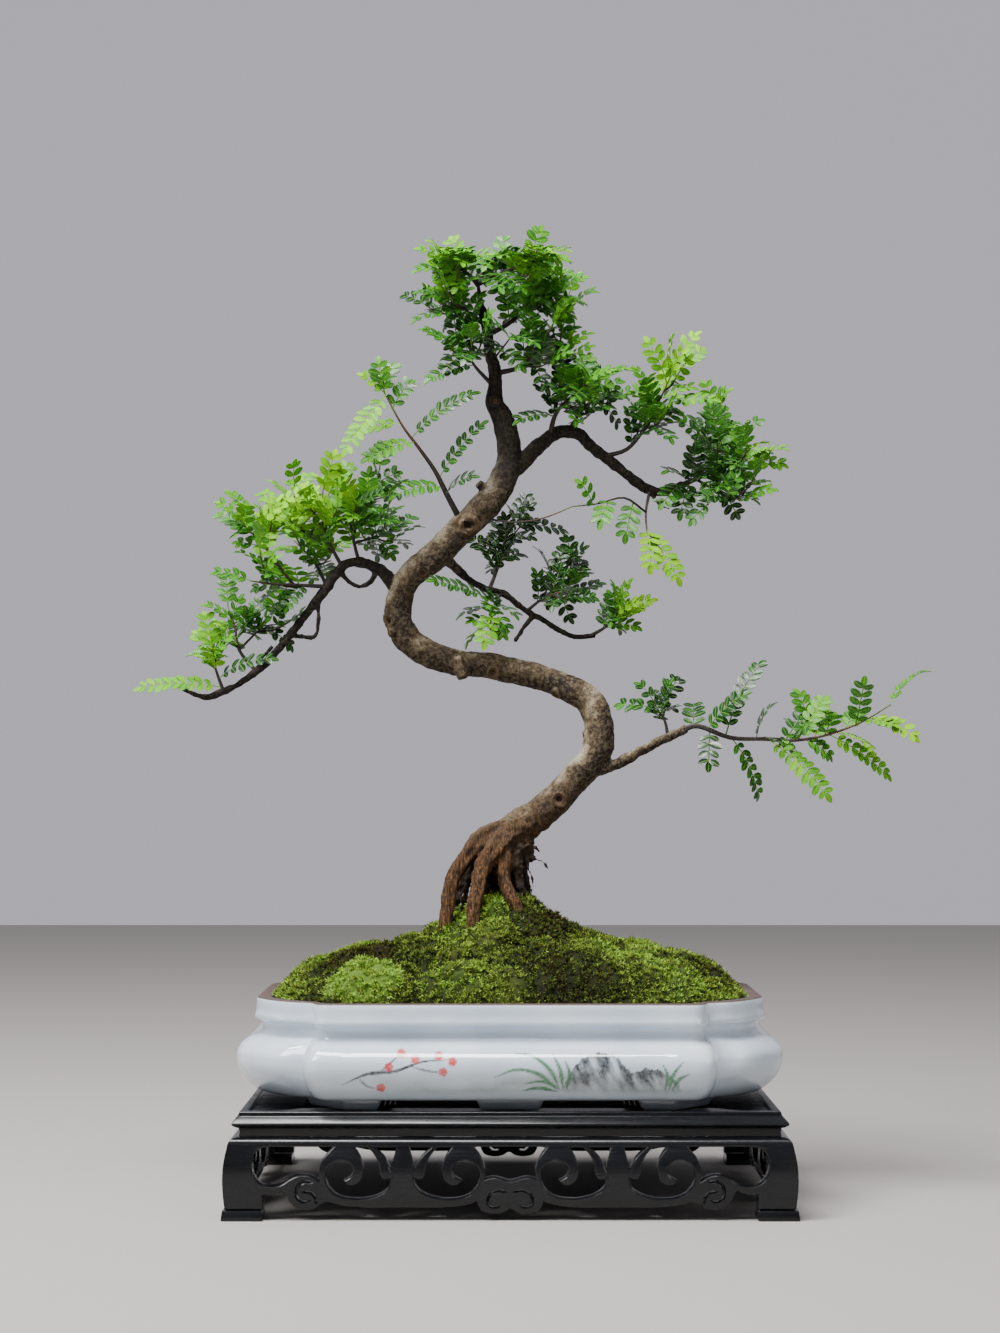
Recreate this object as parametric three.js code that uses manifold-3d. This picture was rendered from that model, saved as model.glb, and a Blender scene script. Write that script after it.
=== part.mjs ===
// A Chinese pepper tree grown as a bonsai, in a lobed porcelain pot on a carved wooden stand.
// Millimetres, +Z up. The front of the pot faces -Y, and the middle of the stand is x = 0, y = 0.
import * as THREE from "three";
import { mergeVertices } from "three/addons/utils/BufferGeometryUtils.js";
import Module from "manifold-3d";

const wasm = await Module();
wasm.setup();

// Driving dimensions
const GAP = 0.3; // clearance between pieces that touch
const STAND_HALF_X = 174.6; // top fillet of the stand, half its length
const STAND_HALF_Y = 131.3;
const FOOT_SPREAD = 185.3; // outer face of a plinth on a long side
const FOOT_TOP = 6.6;
const BOARD_TOP = 52.3;
const WAIST_TOP = 58.0;
const RAIL_FIELD = 66.3; // flat of the rails, where the pot stands
const PANEL_TOP = 66.0;
const RAIL_WIDTH = 38;
const POT_FOOT_Z = RAIL_FIELD + GAP;
const RIM_TOP = 136.6;
const SOIL_EDGE = 126;
const MOSS_EDGE = 136;
const BLADE = 0.7; // thickness of a frond
const FROND_HALF_WIDTH = 8.5;
const FOLD = 0.22; // rise of a leaflet for each millimetre away from the rib

// The limbs and twigs are drawn as [x, z, y, radius]: x and z on the tree's middle plane, as seen
// from a viewpoint in front of the tree, and y the depth that the point is then moved along its
// line of sight.
const VIEW_DISTANCE = 1910;
const VIEW_X = -6.6;
const VIEW_Z = 283;

function spot([x, z, y]) {
  const reach = (VIEW_DISTANCE + y) / VIEW_DISTANCE;
  return new THREE.Vector3(VIEW_X + (x - VIEW_X) * reach, y, VIEW_Z + (z - VIEW_Z) * reach);
}

// A small seeded generator, so that every build draws the same numbers.
function randomFrom(seed) {
  let state = seed;
  return () => {
    state = (1664525 * state + 1013904223) % 4294967296;
    return state / 4294967296;
  };
}

function solidOf(geometry) {
  const bare = new THREE.BufferGeometry();
  const flat = geometry.index ? geometry.toNonIndexed() : geometry;
  bare.setAttribute("position", flat.getAttribute("position"));
  const merged = mergeVertices(bare, 1e-3);
  const vertProperties = merged.attributes.position.array;
  const triVerts = new Uint32Array(merged.index.array);
  return new wasm.Manifold(new wasm.Mesh({ numProp: 3, vertProperties, triVerts }));
}

function geometryOf(solid) {
  const { vertProperties, numProp, triVerts } = solid.getMesh();
  const count = vertProperties.length / numProp;
  const position = new Float32Array(count * 3);
  for (let i = 0; i < count; i++) {
    position.set(vertProperties.subarray(i * numProp, i * numProp + 3), i * 3);
  }
  const geometry = new THREE.BufferGeometry();
  geometry.setAttribute("position", new THREE.BufferAttribute(position, 3));
  geometry.setIndex(new THREE.BufferAttribute(triVerts, 1));
  geometry.computeVertexNormals();
  return geometry;
}

function join(solids) {
  return solids.reduce((whole, piece) => whole.add(piece));
}

// The largest body of a cut solid, without its loose scraps.
function mainBody(solid) {
  return solid.decompose().reduce((best, body) => (body.volume() > best.volume() ? body : best));
}

// A closed solid through rings of points, with its two ends filled by the given triangles. Each
// ring runs counter-clockwise seen against the direction of travel.
function loft(rings, section, faces = THREE.ShapeUtils.triangulateShape(section, [])) {
  const count = section.length;
  const corners = [];
  const add = (...points) => points.forEach((p) => corners.push(p.x, p.y, p.z));
  for (let i = 0; i + 1 < rings.length; i++) {
    for (let j = 0; j < count; j++) {
      const k = (j + 1) % count;
      add(rings[i][j], rings[i][k], rings[i + 1][k]);
      add(rings[i][j], rings[i + 1][k], rings[i + 1][j]);
    }
  }
  const first = rings[0];
  const last = rings[rings.length - 1];
  for (const [a, b, c] of faces) {
    add(first[c], first[b], first[a]);
    add(last[a], last[b], last[c]);
  }
  const geometry = new THREE.BufferGeometry();
  geometry.setAttribute("position", new THREE.Float32BufferAttribute(corners, 3));
  return geometry;
}

// The stand: mitred bars round a panel, on pierced boards and four plinths.

// A bar along X, facing -Y, with mitred ends. The profile is [outward, z] from the fillet.
function mitredBar(profile, halfLength, halfDistance) {
  const end = (direction) =>
    profile.map(([out, z]) => {
      const x = direction * (halfLength + out - GAP / 2);
      return new THREE.Vector3(x, -(halfDistance + out), z);
    });
  const section = profile.map(([out, z]) => new THREE.Vector2(-out, z));
  return loft([end(-1), end(1)], section);
}

const RAIL_PROFILE = [
  [-RAIL_WIDTH, WAIST_TOP + GAP],
  [-RAIL_WIDTH, RAIL_FIELD],
  [-6.5, RAIL_FIELD],
  [-5, 68.6],
  [0, 68.6],
  [0, 65.1],
  [4.6, 60.9],
  [1.5, WAIST_TOP + GAP],
];
const WAIST_PROFILE = [
  [-8, BOARD_TOP + GAP],
  [-8, WAIST_TOP],
  [0, WAIST_TOP],
  [0, BOARD_TOP + GAP],
];
// The boards swell outward between the waist and the feet.
const BOARD_PROFILE = [
  [-2.5, FOOT_TOP + GAP],
  [-2.5, BOARD_TOP],
  [5.4, BOARD_TOP],
  [9.7, 29],
  [8.2, FOOT_TOP + GAP],
];

const BUD_X = 68.9; // axis of a lotus bud on the long boards
// Below are half outlines of the pierced carving, as [x, z]. Leg points are measured from the
// board's mitred end, bud points from the axis of the nearest bud.
const LEG_INNER = 16.2;
const CUTTER_DEPTH = 60;
const SCROLL_FOOT = [
  [-73.6, 19.9],
  [-70, 10.5],
  [-61.8, 6.6],
  [-53.1, 7.2],
];
const SCROLL_BELLY = [
  [-44.1, 11.5],
  [-29.3, 8.9],
  [0, 8.6],
];
const TONGUE_LEG = [
  [19.6, 46.8],
  [10.5, 39],
  [11.5, 26.5],
  [19.6, 22.1],
  [26.6, 22.3],
];
const TONGUE_BUD = [
  [-64.8, 29.5],
  [-54.4, 26.1],
  [-52.8, 36],
  [-45.6, 46.8],
];
const SCROLL_EYE = [
  [-37.8, 25.8],
  [-32.2, 30.5],
  [-35, 37],
  [-43, 37.8],
  [-49.3, 30],
  [-45.6, 19.1],
  [-36, 14.3],
  [-22, 14.7],
  [-8.7, 21.4],
  [-7.2, 27.5],
  [-13.5, 27.5],
  [-22, 46.1],
  [-31.6, 46.1],
  [-25.4, 34],
  [-28.5, 24],
];
const LEAF_GAP = [
  [-18.6, 46.1],
  [-10.5, 39.5],
  [-7.3, 32.4],
  [-3.6, 46.1],
];
const CLOUD_FOOT = [
  [-19.5, 10],
  [-14, 5],
  [-4, 5.2],
  [0, 8.5],
];
const CLOUD_GAP = [
  [-23.4, 46.8],
  [-16.3, 33],
  [-16.5, 27],
  [-5, 26.5],
  [0, 24.6],
];

const shifted = (points, x) => points.map(([px, z]) => [px + x, z]);
const mirrored = (points) => points.map(([x, z]) => [-x, z]).reverse();
const outlineOf = (points) => points.map(([x, z]) => new THREE.Vector2(x, z));

// The pierced face of a board, as a straight block that the swelling bar is cut to: one bud unit
// on a short side, two with a cloud between them on a long one.
function boardCutter(halfLength, budX) {
  const leg = (points) => shifted(points, -halfLength);
  const bud = (points) => shifted(points, -budX);
  const past = halfLength + CUTTER_DEPTH;
  const legFoot = [
    [LEG_INNER, 0],
    [LEG_INNER, 17.7],
    [22.5, 16.9],
  ];
  const left = [[-past, 0], ...leg(legFoot), ...bud(SCROLL_FOOT), ...bud(SCROLL_BELLY)];
  const holes = [[...leg(TONGUE_LEG), ...bud(TONGUE_BUD)], bud(SCROLL_EYE), bud(LEAF_GAP)];
  if (budX > 0) {
    left.push(...bud(mirrored(SCROLL_BELLY).slice(1)), ...CLOUD_FOOT);
    holes.push(bud(mirrored(SCROLL_EYE)), bud(mirrored(LEAF_GAP)));
  }
  holes.push(...holes.map(mirrored));
  if (budX > 0) holes.push([...CLOUD_GAP, ...mirrored(CLOUD_GAP).slice(1)]);
  const above = BOARD_TOP + GAP;
  const outline = [...left, ...mirrored(left).slice(1), [past, above], [-past, above]];
  const block = (points) => {
    const shape = new THREE.Shape(outlineOf(points));
    return solidOf(new THREE.ExtrudeGeometry(shape, { depth: CUTTER_DEPTH, bevelEnabled: false }));
  };
  return holes.reduce((face, hole) => face.subtract(block(hole)), block(outline));
}

function boardGeometry(halfLength, halfDistance, budX) {
  const cutter = geometryOf(boardCutter(halfLength, budX));
  cutter.rotateX(Math.PI / 2);
  cutter.translate(0, CUTTER_DEPTH / 2 - halfDistance, 0);
  const bar = solidOf(mitredBar(BOARD_PROFILE, halfLength, halfDistance));
  return geometryOf(bar.intersect(solidOf(cutter)));
}

// A plinth under the leg in the corner that the signs sx and sy name, a little wider at the floor.
function plinthGeometry(sx, sy) {
  const inner = STAND_HALF_X - LEG_INNER;
  const shorter = STAND_HALF_X - STAND_HALF_Y;
  const ring = (outer, z) => {
    const corners = [
      [inner, inner],
      [outer, inner],
      [outer, outer],
      [inner, outer],
    ];
    if (sx * sy < 0) corners.reverse();
    return corners.map(([x, y]) => new THREE.Vector3(sx * x, sy * (y - shorter), z));
  };
  const floor = ring(FOOT_SPREAD, 0);
  const section = floor.map((p) => new THREE.Vector2(p.x, p.y));
  return loft([floor, ring(FOOT_SPREAD, 1.5), ring(FOOT_SPREAD - 1.1, FOOT_TOP)], section);
}

// The pot: a bowl of four lobes with creases between them, six feet and two drain holes.

// One quarter of the rim's plan from the middle of the front to the middle of the right end:
// [x, y] and the direction in which the wall moves where it swells.
const RIM_QUARTER = [
  [0, -123.5, 0, -1],
  [112, -123.5, 0, -1],
  [122.8, -121.5, 0.5, -0.9],
  [127.5, -115, 0.5, -0.7],
  [129, -107, 0.42, -0.5],
  [146, -97, 0.6, -0.8],
  [161, -78, 0.85, -0.5],
  [170, -54.7, 1, -0.12],
  [170, 0, 1, 0],
];

function rimPlan() {
  const turn = (points, sx, sy) => points.map(([x, y, dx, dy]) => [x * sx, y * sy, dx * sx, dy * sy]);
  const frontRight = RIM_QUARTER.slice(0, -1);
  const right = [RIM_QUARTER[RIM_QUARTER.length - 1]];
  const inner = RIM_QUARTER.slice(1, -1);
  return [
    ...frontRight,
    ...right,
    ...turn([...inner].reverse(), 1, -1),
    ...turn([RIM_QUARTER[0]], 1, -1),
    ...turn(inner, -1, -1),
    ...turn(right, -1, 1),
    ...turn([...inner].reverse(), -1, 1),
  ];
}
const RIM_PLAN = rimPlan();
const PLAN_SECTION = RIM_PLAN.map(([x, y]) => new THREE.Vector2(x, y));

// The plan at a height, swollen outward by an amount.
function planRing(out, z) {
  return RIM_PLAN.map(([x, y, dx, dy]) => new THREE.Vector3(x + dx * out, y + dy * out, z));
}

// [outward, z] up the outside, over the rim and down the inside.
const POT_WALL = [
  [-6, 74.2],
  [0, 75.6],
  [8.5, 83],
  [13.4, 97],
  [10.5, 105],
  [3, 110.5],
  [-3.5, 112.5],
  [-4, 119],
  [0.8, 122.5],
  [0, RIM_TOP],
  [-9.5, RIM_TOP],
  [-11, 112],
  [-3, 98],
  [-12, 81],
];

const POT_FEET = [
  [
    [-83, -111],
    [-83, -101],
    [-103, -100],
    [-129, -73],
    [-138, -80],
    [-108, -110],
  ],
  [
    [24, -110],
    [24, -101],
    [-24, -101],
    [-24, -110],
  ],
];
const POT_FOOT_TOP = 78;
const DRAIN_X = 75;
const DRAIN_RADIUS = 9;

function potFoot(points, scale) {
  const plan = points.map(([x, y]) => [x * scale[0], y * scale[1]]);
  if (scale[0] * scale[1] < 0) plan.reverse();
  const middleX = plan.reduce((sum, [x]) => sum + x, 0) / plan.length;
  const ring = (z, share) =>
    plan.map(([x, y]) => new THREE.Vector3(middleX + (x - middleX) * share, y, z));
  const section = plan.map(([x, y]) => new THREE.Vector2(x, y));
  if (THREE.ShapeUtils.isClockWise(section)) {
    section.reverse();
    plan.reverse();
  }
  return solidOf(loft([ring(POT_FOOT_Z, 0.9), ring(POT_FOOT_TOP, 1)], section));
}

function potSolid() {
  let pot = solidOf(loft(POT_WALL.map(([out, z]) => planRing(out, z)), PLAN_SECTION));
  for (const [sx, sy] of [[1, 1], [-1, 1], [1, -1], [-1, -1]]) {
    pot = pot.add(potFoot(POT_FEET[0], [sx, sy]));
  }
  for (const sy of [1, -1]) {
    pot = pot.add(potFoot(POT_FEET[1], [1, sy]));
  }
  for (const x of [-DRAIN_X, DRAIN_X]) {
    const drain = new THREE.CylinderGeometry(DRAIN_RADIUS, DRAIN_RADIUS, 30, 8);
    drain.rotateX(Math.PI / 2);
    drain.translate(x, 0, POT_FOOT_TOP);
    pot = pot.subtract(solidOf(drain));
  }
  return pot;
}

// Soil and moss: a mound that falls from the root crown to the rim.

const MOUND_RISE = 27;
const MOUND_SLOPE = 4;
const CROWN_RISE = 33;
const CROWN_REACH = 45;
const CROWN_X = -4;
const CROWN_Y = 0;

// Height of the moss at a point of the plan, with share 1 at the rim and 0 in the middle.
function mossHeight(x, y, share, bump) {
  const round = MOUND_RISE * (1 - share ** 5);
  const away = Math.hypot(x - CROWN_X, y - CROWN_Y) / CROWN_REACH;
  const crown = CROWN_RISE * Math.exp(-away * away);
  return MOSS_EDGE + 1 + round + MOUND_SLOPE * (1 - share) + crown + bump;
}

const SOIL_SHARES = [1, 0.35];
const MOSS_SHARES = [1, 0.88, 0.68, 0.42, 0.18];
const MOSS_THICKNESS = 7;
const BUMP = 9;
const SOIL_INSET = -12.4;

// The plan at a height as the soil fills it, with the long straight runs halved.
function moundEdge(out, z) {
  const plan = planRing(out, z);
  const longest = 70;
  return plan.flatMap((p, i) => {
    const next = plan[(i + 1) % plan.length];
    return p.distanceTo(next) > longest ? [p, p.clone().lerp(next, 0.5)] : [p];
  });
}
const MOUND_SECTION = moundEdge(0, 0).map((p) => new THREE.Vector2(p.x, p.y));

// A ring of the mound: the pot's lobes at the rim, rounder towards the middle.
function moundRing(share) {
  const last = RIM_QUARTER[RIM_QUARTER.length - 1];
  const halfX = last[0] + SOIL_INSET;
  const halfY = RIM_QUARTER[0][1] - SOIL_INSET;
  return moundEdge(SOIL_INSET, 0).map((p) => {
    const size = Math.hypot(p.x / halfX, p.y / halfY);
    const round = share * (share + (1 - share) / size);
    return p.multiplyScalar(round);
  });
}

function soilTop(share, lift) {
  return moundRing(share).map((p) => {
    const full = mossHeight(p.x, p.y, share, 0) - MOSS_THICKNESS;
    const z = share === 1 ? SOIL_EDGE : full;
    return new THREE.Vector3(p.x, p.y, z + lift);
  });
}

function soilSolid(lift = 0) {
  const sides = [
    moundEdge(-13.5, 81 + GAP),
    moundEdge(-5.2, 98),
    moundEdge(SOIL_INSET - 0.2, 112),
  ];
  const top = SOIL_SHARES.map((share) => soilTop(share, lift));
  return solidOf(loft([...sides, ...top], MOUND_SECTION));
}

function mossSolid() {
  const random = randomFrom(5);
  const over = MOSS_SHARES.map((share) =>
    moundRing(share).map((p) => {
      const bump = share === 1 ? 0 : BUMP * (random() - 0.5);
      const z = share === 1 ? MOSS_EDGE : mossHeight(p.x, p.y, share, bump);
      return new THREE.Vector3(p.x, p.y, z);
    }),
  );
  const block = loft([moundEdge(SOIL_INSET, SOIL_EDGE + GAP), ...over], MOUND_SECTION);
  return solidOf(block).subtract(soilSolid(GAP));
}

// The tree: trunk, roots and limbs grown in one piece.

// A tapered limb along a smooth route of [x, z, y, radius] points.
function limb(route, sides, steps, grow = 0) {
  const path = new THREE.CatmullRomCurve3(route.map(spot), false, "catmullrom");
  const radiusAt = (t) => {
    const place = t * (route.length - 1);
    const before = Math.min(Math.floor(place), route.length - 2);
    const share = place - before;
    return route[before][3] * (1 - share) + route[before + 1][3] * share;
  };
  const rings = [];
  const across = new THREE.Vector3(0, 1, 0);
  for (let i = 0; i <= steps; i++) {
    const t = i / steps;
    const centre = path.getPoint(t);
    const ahead = path.getTangent(t);
    across.projectOnPlane(ahead).normalize();
    const other = new THREE.Vector3().crossVectors(ahead, across);
    const radius = radiusAt(t) + grow;
    const ring = [];
    for (let j = 0; j < sides; j++) {
      const angle = (2 * Math.PI * j) / sides;
      const point = centre.clone();
      point.addScaledVector(across, radius * Math.cos(angle));
      point.addScaledVector(other, radius * Math.sin(angle));
      ring.push(point);
    }
    rings.push(ring);
  }
  const section = [];
  for (let j = 0; j < sides; j++) {
    const angle = (2 * Math.PI * j) / sides;
    section.push(new THREE.Vector2(Math.cos(angle), Math.sin(angle)));
  }
  return solidOf(loft(rings, section));
}

const TRUNK = [
  [-9, 222, 2, 9],
  [2.4, 244.2, 0, 13],
  [25.3, 261.5, -2, 11],
  [44, 281, -4, 10.4],
  [60.5, 300, -6, 10.4],
  [62.2, 317.7, -5, 10.2],
  [55.9, 335.8, 0, 10],
  [37.2, 347.2, 4, 9.2],
  [8.7, 356.3, 8, 9],
  [-12.9, 360.8, 10, 9.2],
  [-39.3, 363.6, 8, 9],
  [-62, 372, 4, 9.6],
  [-74.5, 385, 1, 9.8],
  [-77.4, 401.2, 0, 9.2],
  [-70.6, 421.4, -4, 9.2],
  [-50.5, 438.5, -6, 10],
  [-32.4, 457, -4, 9.8],
  [-15, 474.5, 0, 10.4],
  [-3.8, 491.9, 4, 9.4],
  [-0.3, 508, 6, 8.3],
  [-3.1, 529.1, 6, 8],
  [-10.4, 544.5, 4, 6.3],
  [-9.7, 562.7, 2, 4.6],
  [-13.6, 579.6, 0, 3.9],
  [-15.7, 595.7, 0, 3.6],
  [-19.9, 611.9, 0, 3.3],
];

const ROOTS = [
  // left
  [
    [1, 248, 0, 9],
    [-17, 241, -5, 7.8],
    [-29, 229, -9, 7],
    [-38, 216, -13, 6.6],
    [-42, 202, -17, 6.4],
    [-44, 184, -20, 5.8],
    [-46, 166, -22, 4.6],
  ],
  // front left
  [
    [0, 244, -3, 9],
    [-9, 234, -10, 7.8],
    [-18, 222, -17, 7],
    [-22, 206, -25, 6.6],
    [-25, 190, -31, 6],
    [-24, 174, -36, 5.2],
    [-22, 158, -40, 4],
  ],
  // front right
  [
    [0, 240, -3, 8],
    [-3, 228, -9, 6.8],
    [-4, 216, -14, 6.2],
    [0, 203, -18, 5.8],
    [6, 190, -22, 5.4],
    [9, 168, -25, 4.2],
  ],
  // right
  [[8, 246, 2, 9], [13, 232, 4, 7.8], [16, 216, 7, 7], [19, 200, 11, 6.4], [23, 182, 15, 5]],
  // back
  [[-2, 240, 6, 8], [-10, 228, 12, 7], [-16, 212, 19, 6.4], [-20, 196, 25, 5.8], [-24, 174, 30, 4.4]],
  // inner
  [[-4, 238, 0, 8], [-13, 230, 1, 7.4], [-18, 214, 1, 7], [-19, 198, 0, 6.6], [-20, 176, 0, 5]],
];

const LIMBS = [
  // the left cascade
  [
    [-76, 410, -1, 6],
    [-86, 424, -5, 4.6],
    [-97, 431, -10, 3.8],
    [-111, 433, -14, 3.6],
    [-121, 425, -17, 3.4],
    [-129, 413, -20, 3.2],
    [-139, 400, -22, 3],
    [-150, 386, -25, 2.9],
    [-160, 373, -28, 2.7],
    [-175, 358, -31, 2.5],
    [-190, 347, -34, 2.3],
    [-201, 342, -36, 2.2],
    [-211, 339, -38, 2.1],
    [-221, 342, -38, 1.7],
    [-230, 347, -38, 1.4],
  ],
  // the right limb
  [
    [-2, 497, 5, 8],
    [10, 504, 8, 6],
    [22, 516, 11, 5.2],
    [34, 524, 13, 4.8],
    [47, 523, 15, 4.4],
    [58, 513, 17, 4.2],
    [71, 503, 19, 4],
    [83, 493, 20, 3.8],
    [95, 485, 21, 3.6],
    [107, 482, 22, 3],
    [121, 488, 22, 2.2],
  ],
  // the middle limb, behind the trunk
  [
    [-45, 436, -2, 4.5],
    [-31, 423, 8, 2.6],
    [-18, 415, 14, 2.4],
    [-4, 411, 19, 2.4],
    [9, 401, 23, 2.3],
    [23, 393, 26, 2.2],
    [34, 386, 28, 2],
    [46, 381, 30, 1.9],
    [60, 382, 32, 1.6],
  ],
  // the low right limb
  [
    [52, 290, -4, 8],
    [72, 292, -8, 4.2],
    [90, 301, -11, 3.7],
    [107, 310, -14, 3.4],
    [123, 317, -17, 2.8],
  ],
];

// Short stubs of pruned limbs, from the bark outward.
const STUBS = [
  [[-72, 386, 0, 5], [-84, 384, -6, 3.4]],
  [[-36, 364, 4, 6], [-32, 352, -2, 3.4]],
  [[-27, 463, -6, 6], [-29, 459, -17, 4.8]],
  [[40, 279, -4, 6], [37, 266, -6, 3.6]],
  [[-11, 480, 0, 6], [-22, 488, -4, 3]],
];

function treeSolid(grow) {
  return join([
    limb(TRUNK, 8, 34, grow),
    ...ROOTS.map((route) => limb(route, 5, route.length, grow)),
    ...LIMBS.map((route) => limb(route, 5, route.length - 1, grow)),
    ...STUBS.map((route) => limb(route, 5, 1, grow)),
  ]);
}

// The leafy sprays: twigs with fronds, each frond a thin arched blade cut into leaflets.

// The flat outline of a frond from its foot over its right leaflets to its tip and back over the
// left ones, as [along, across] points, and the triangles that fill it. A point of the left edge
// has the index that its mirror image on the right needs to reach the count.
function frondOutline(length, pairs) {
  const foot = 0.3;
  const rib = 0.7;
  const stalk = 0.12 * length;
  const endLeaflet = 0.26 * length;
  const pitch = (length - stalk - endLeaflet) / pairs;
  const right = [];
  for (let k = 0; k < pairs; k++) {
    const from = stalk + k * pitch;
    const reach = FROND_HALF_WIDTH * (0.82 + 0.18 * Math.sin((Math.PI * (k + 1)) / (pairs + 1)));
    right.push([from, -rib], [from + 0.2 * pitch, -0.62 * reach], [from + 0.85 * pitch, -reach]);
  }
  right.push([length - endLeaflet, -rib]);
  const left = right.map(([along, across]) => [along, -across]).reverse();
  const points = [[-foot, 0], ...right, [length, 0], ...left];
  const count = points.length;
  const end = 1 + 3 * pairs;
  const faces = [
    [0, 1, count - 1],
    [end, end + 1, end + 2],
  ];
  for (let a = 1; a < end; a += 3) {
    const b = a + 3;
    faces.push([a, a + 1, a + 2], [a, a + 2, b]);
    faces.push([count - a, count - a - 2, count - a - 1], [count - a, count - b, count - a - 2]);
    faces.push([a, b, count - b], [a, count - b, count - a]);
  }
  return { points, faces };
}

// A frond from base to tip. It faces roughly the given way, rises by arch times its length
// between its ends, and its two rows of leaflets fold up a little.
function frond(base, tip, facing, arch) {
  const length = base.distanceTo(tip);
  const pairs = length < 30 ? 1 : length < 52 ? 2 : 3;
  const ahead = tip.clone().sub(base).normalize();
  const up = facing.clone().projectOnPlane(ahead).normalize();
  const side = new THREE.Vector3().crossVectors(up, ahead);
  const { points, faces } = frondOutline(length, pairs);
  const face = (offset) =>
    points.map(([along, across]) => {
      const share = along / length;
      const lift = 4 * arch * length * share * (1 - share) + FOLD * Math.abs(across);
      const point = base.clone().addScaledVector(ahead, along);
      return point.addScaledVector(side, across).addScaledVector(up, lift + offset);
    });
  return solidOf(loft([face(-BLADE / 2), face(BLADE / 2)], points, faces));
}

// The fronds of a twig, spaced along it from a share of its length to its tip and turned round it
// by the golden angle.
const GOLDEN_ANGLE = 2.39996;
const FORWARD = 0.55; // how far a frond leans along its twig
const AWAY = 0.85; // and away from it
const AWAY_AT_TIP = 0.25;
const LIFT = 0.2;

function twigFronds(twig, random) {
  const path = new THREE.CatmullRomCurve3(twig.route.map(spot), false, "catmullrom");
  const fronds = [];
  for (let i = 0; i < twig.fronds; i++) {
    const last = i === twig.fronds - 1;
    const t = last ? 1 : twig.from + ((1 - twig.from) * i) / twig.fronds;
    const base = path.getPoint(t);
    const ahead = path.getTangent(t);
    const side = new THREE.Vector3().crossVectors(ahead, new THREE.Vector3(0, 1, 0)).normalize();
    const other = new THREE.Vector3().crossVectors(side, ahead);
    const angle = GOLDEN_ANGLE * i + twig.turn;
    const away = last ? AWAY_AT_TIP : AWAY;
    const course = ahead.clone().multiplyScalar(FORWARD);
    course.addScaledVector(side, away * Math.cos(angle));
    course.addScaledVector(other, away * Math.sin(angle));
    course.z += LIFT;
    const length = twig.size * (0.8 + 0.35 * random());
    const tip = base.clone().addScaledVector(course.normalize(), length);
    const facing = new THREE.Vector3(random() - 0.5, -0.6 + 0.8 * (random() - 0.5), 0.8);
    fronds.push(frond(base, tip, facing, 0.05 + 0.09 * random()));
  }
  return fronds;
}

const TWIG_END = 1; // radius

// A twig: its route, the radius at its foot, its fronds, the share of its length where they
// begin, the turn of the first one, and their usual length.
function twig(route, radius, fronds, from = 0.35, turn = 0, size = 32) {
  const tapered = route.map((point, i) => {
    return [...point, radius + ((TWIG_END - radius) * i) / (route.length - 1)];
  });
  return { route: tapered, fronds, from, turn, size };
}

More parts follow.
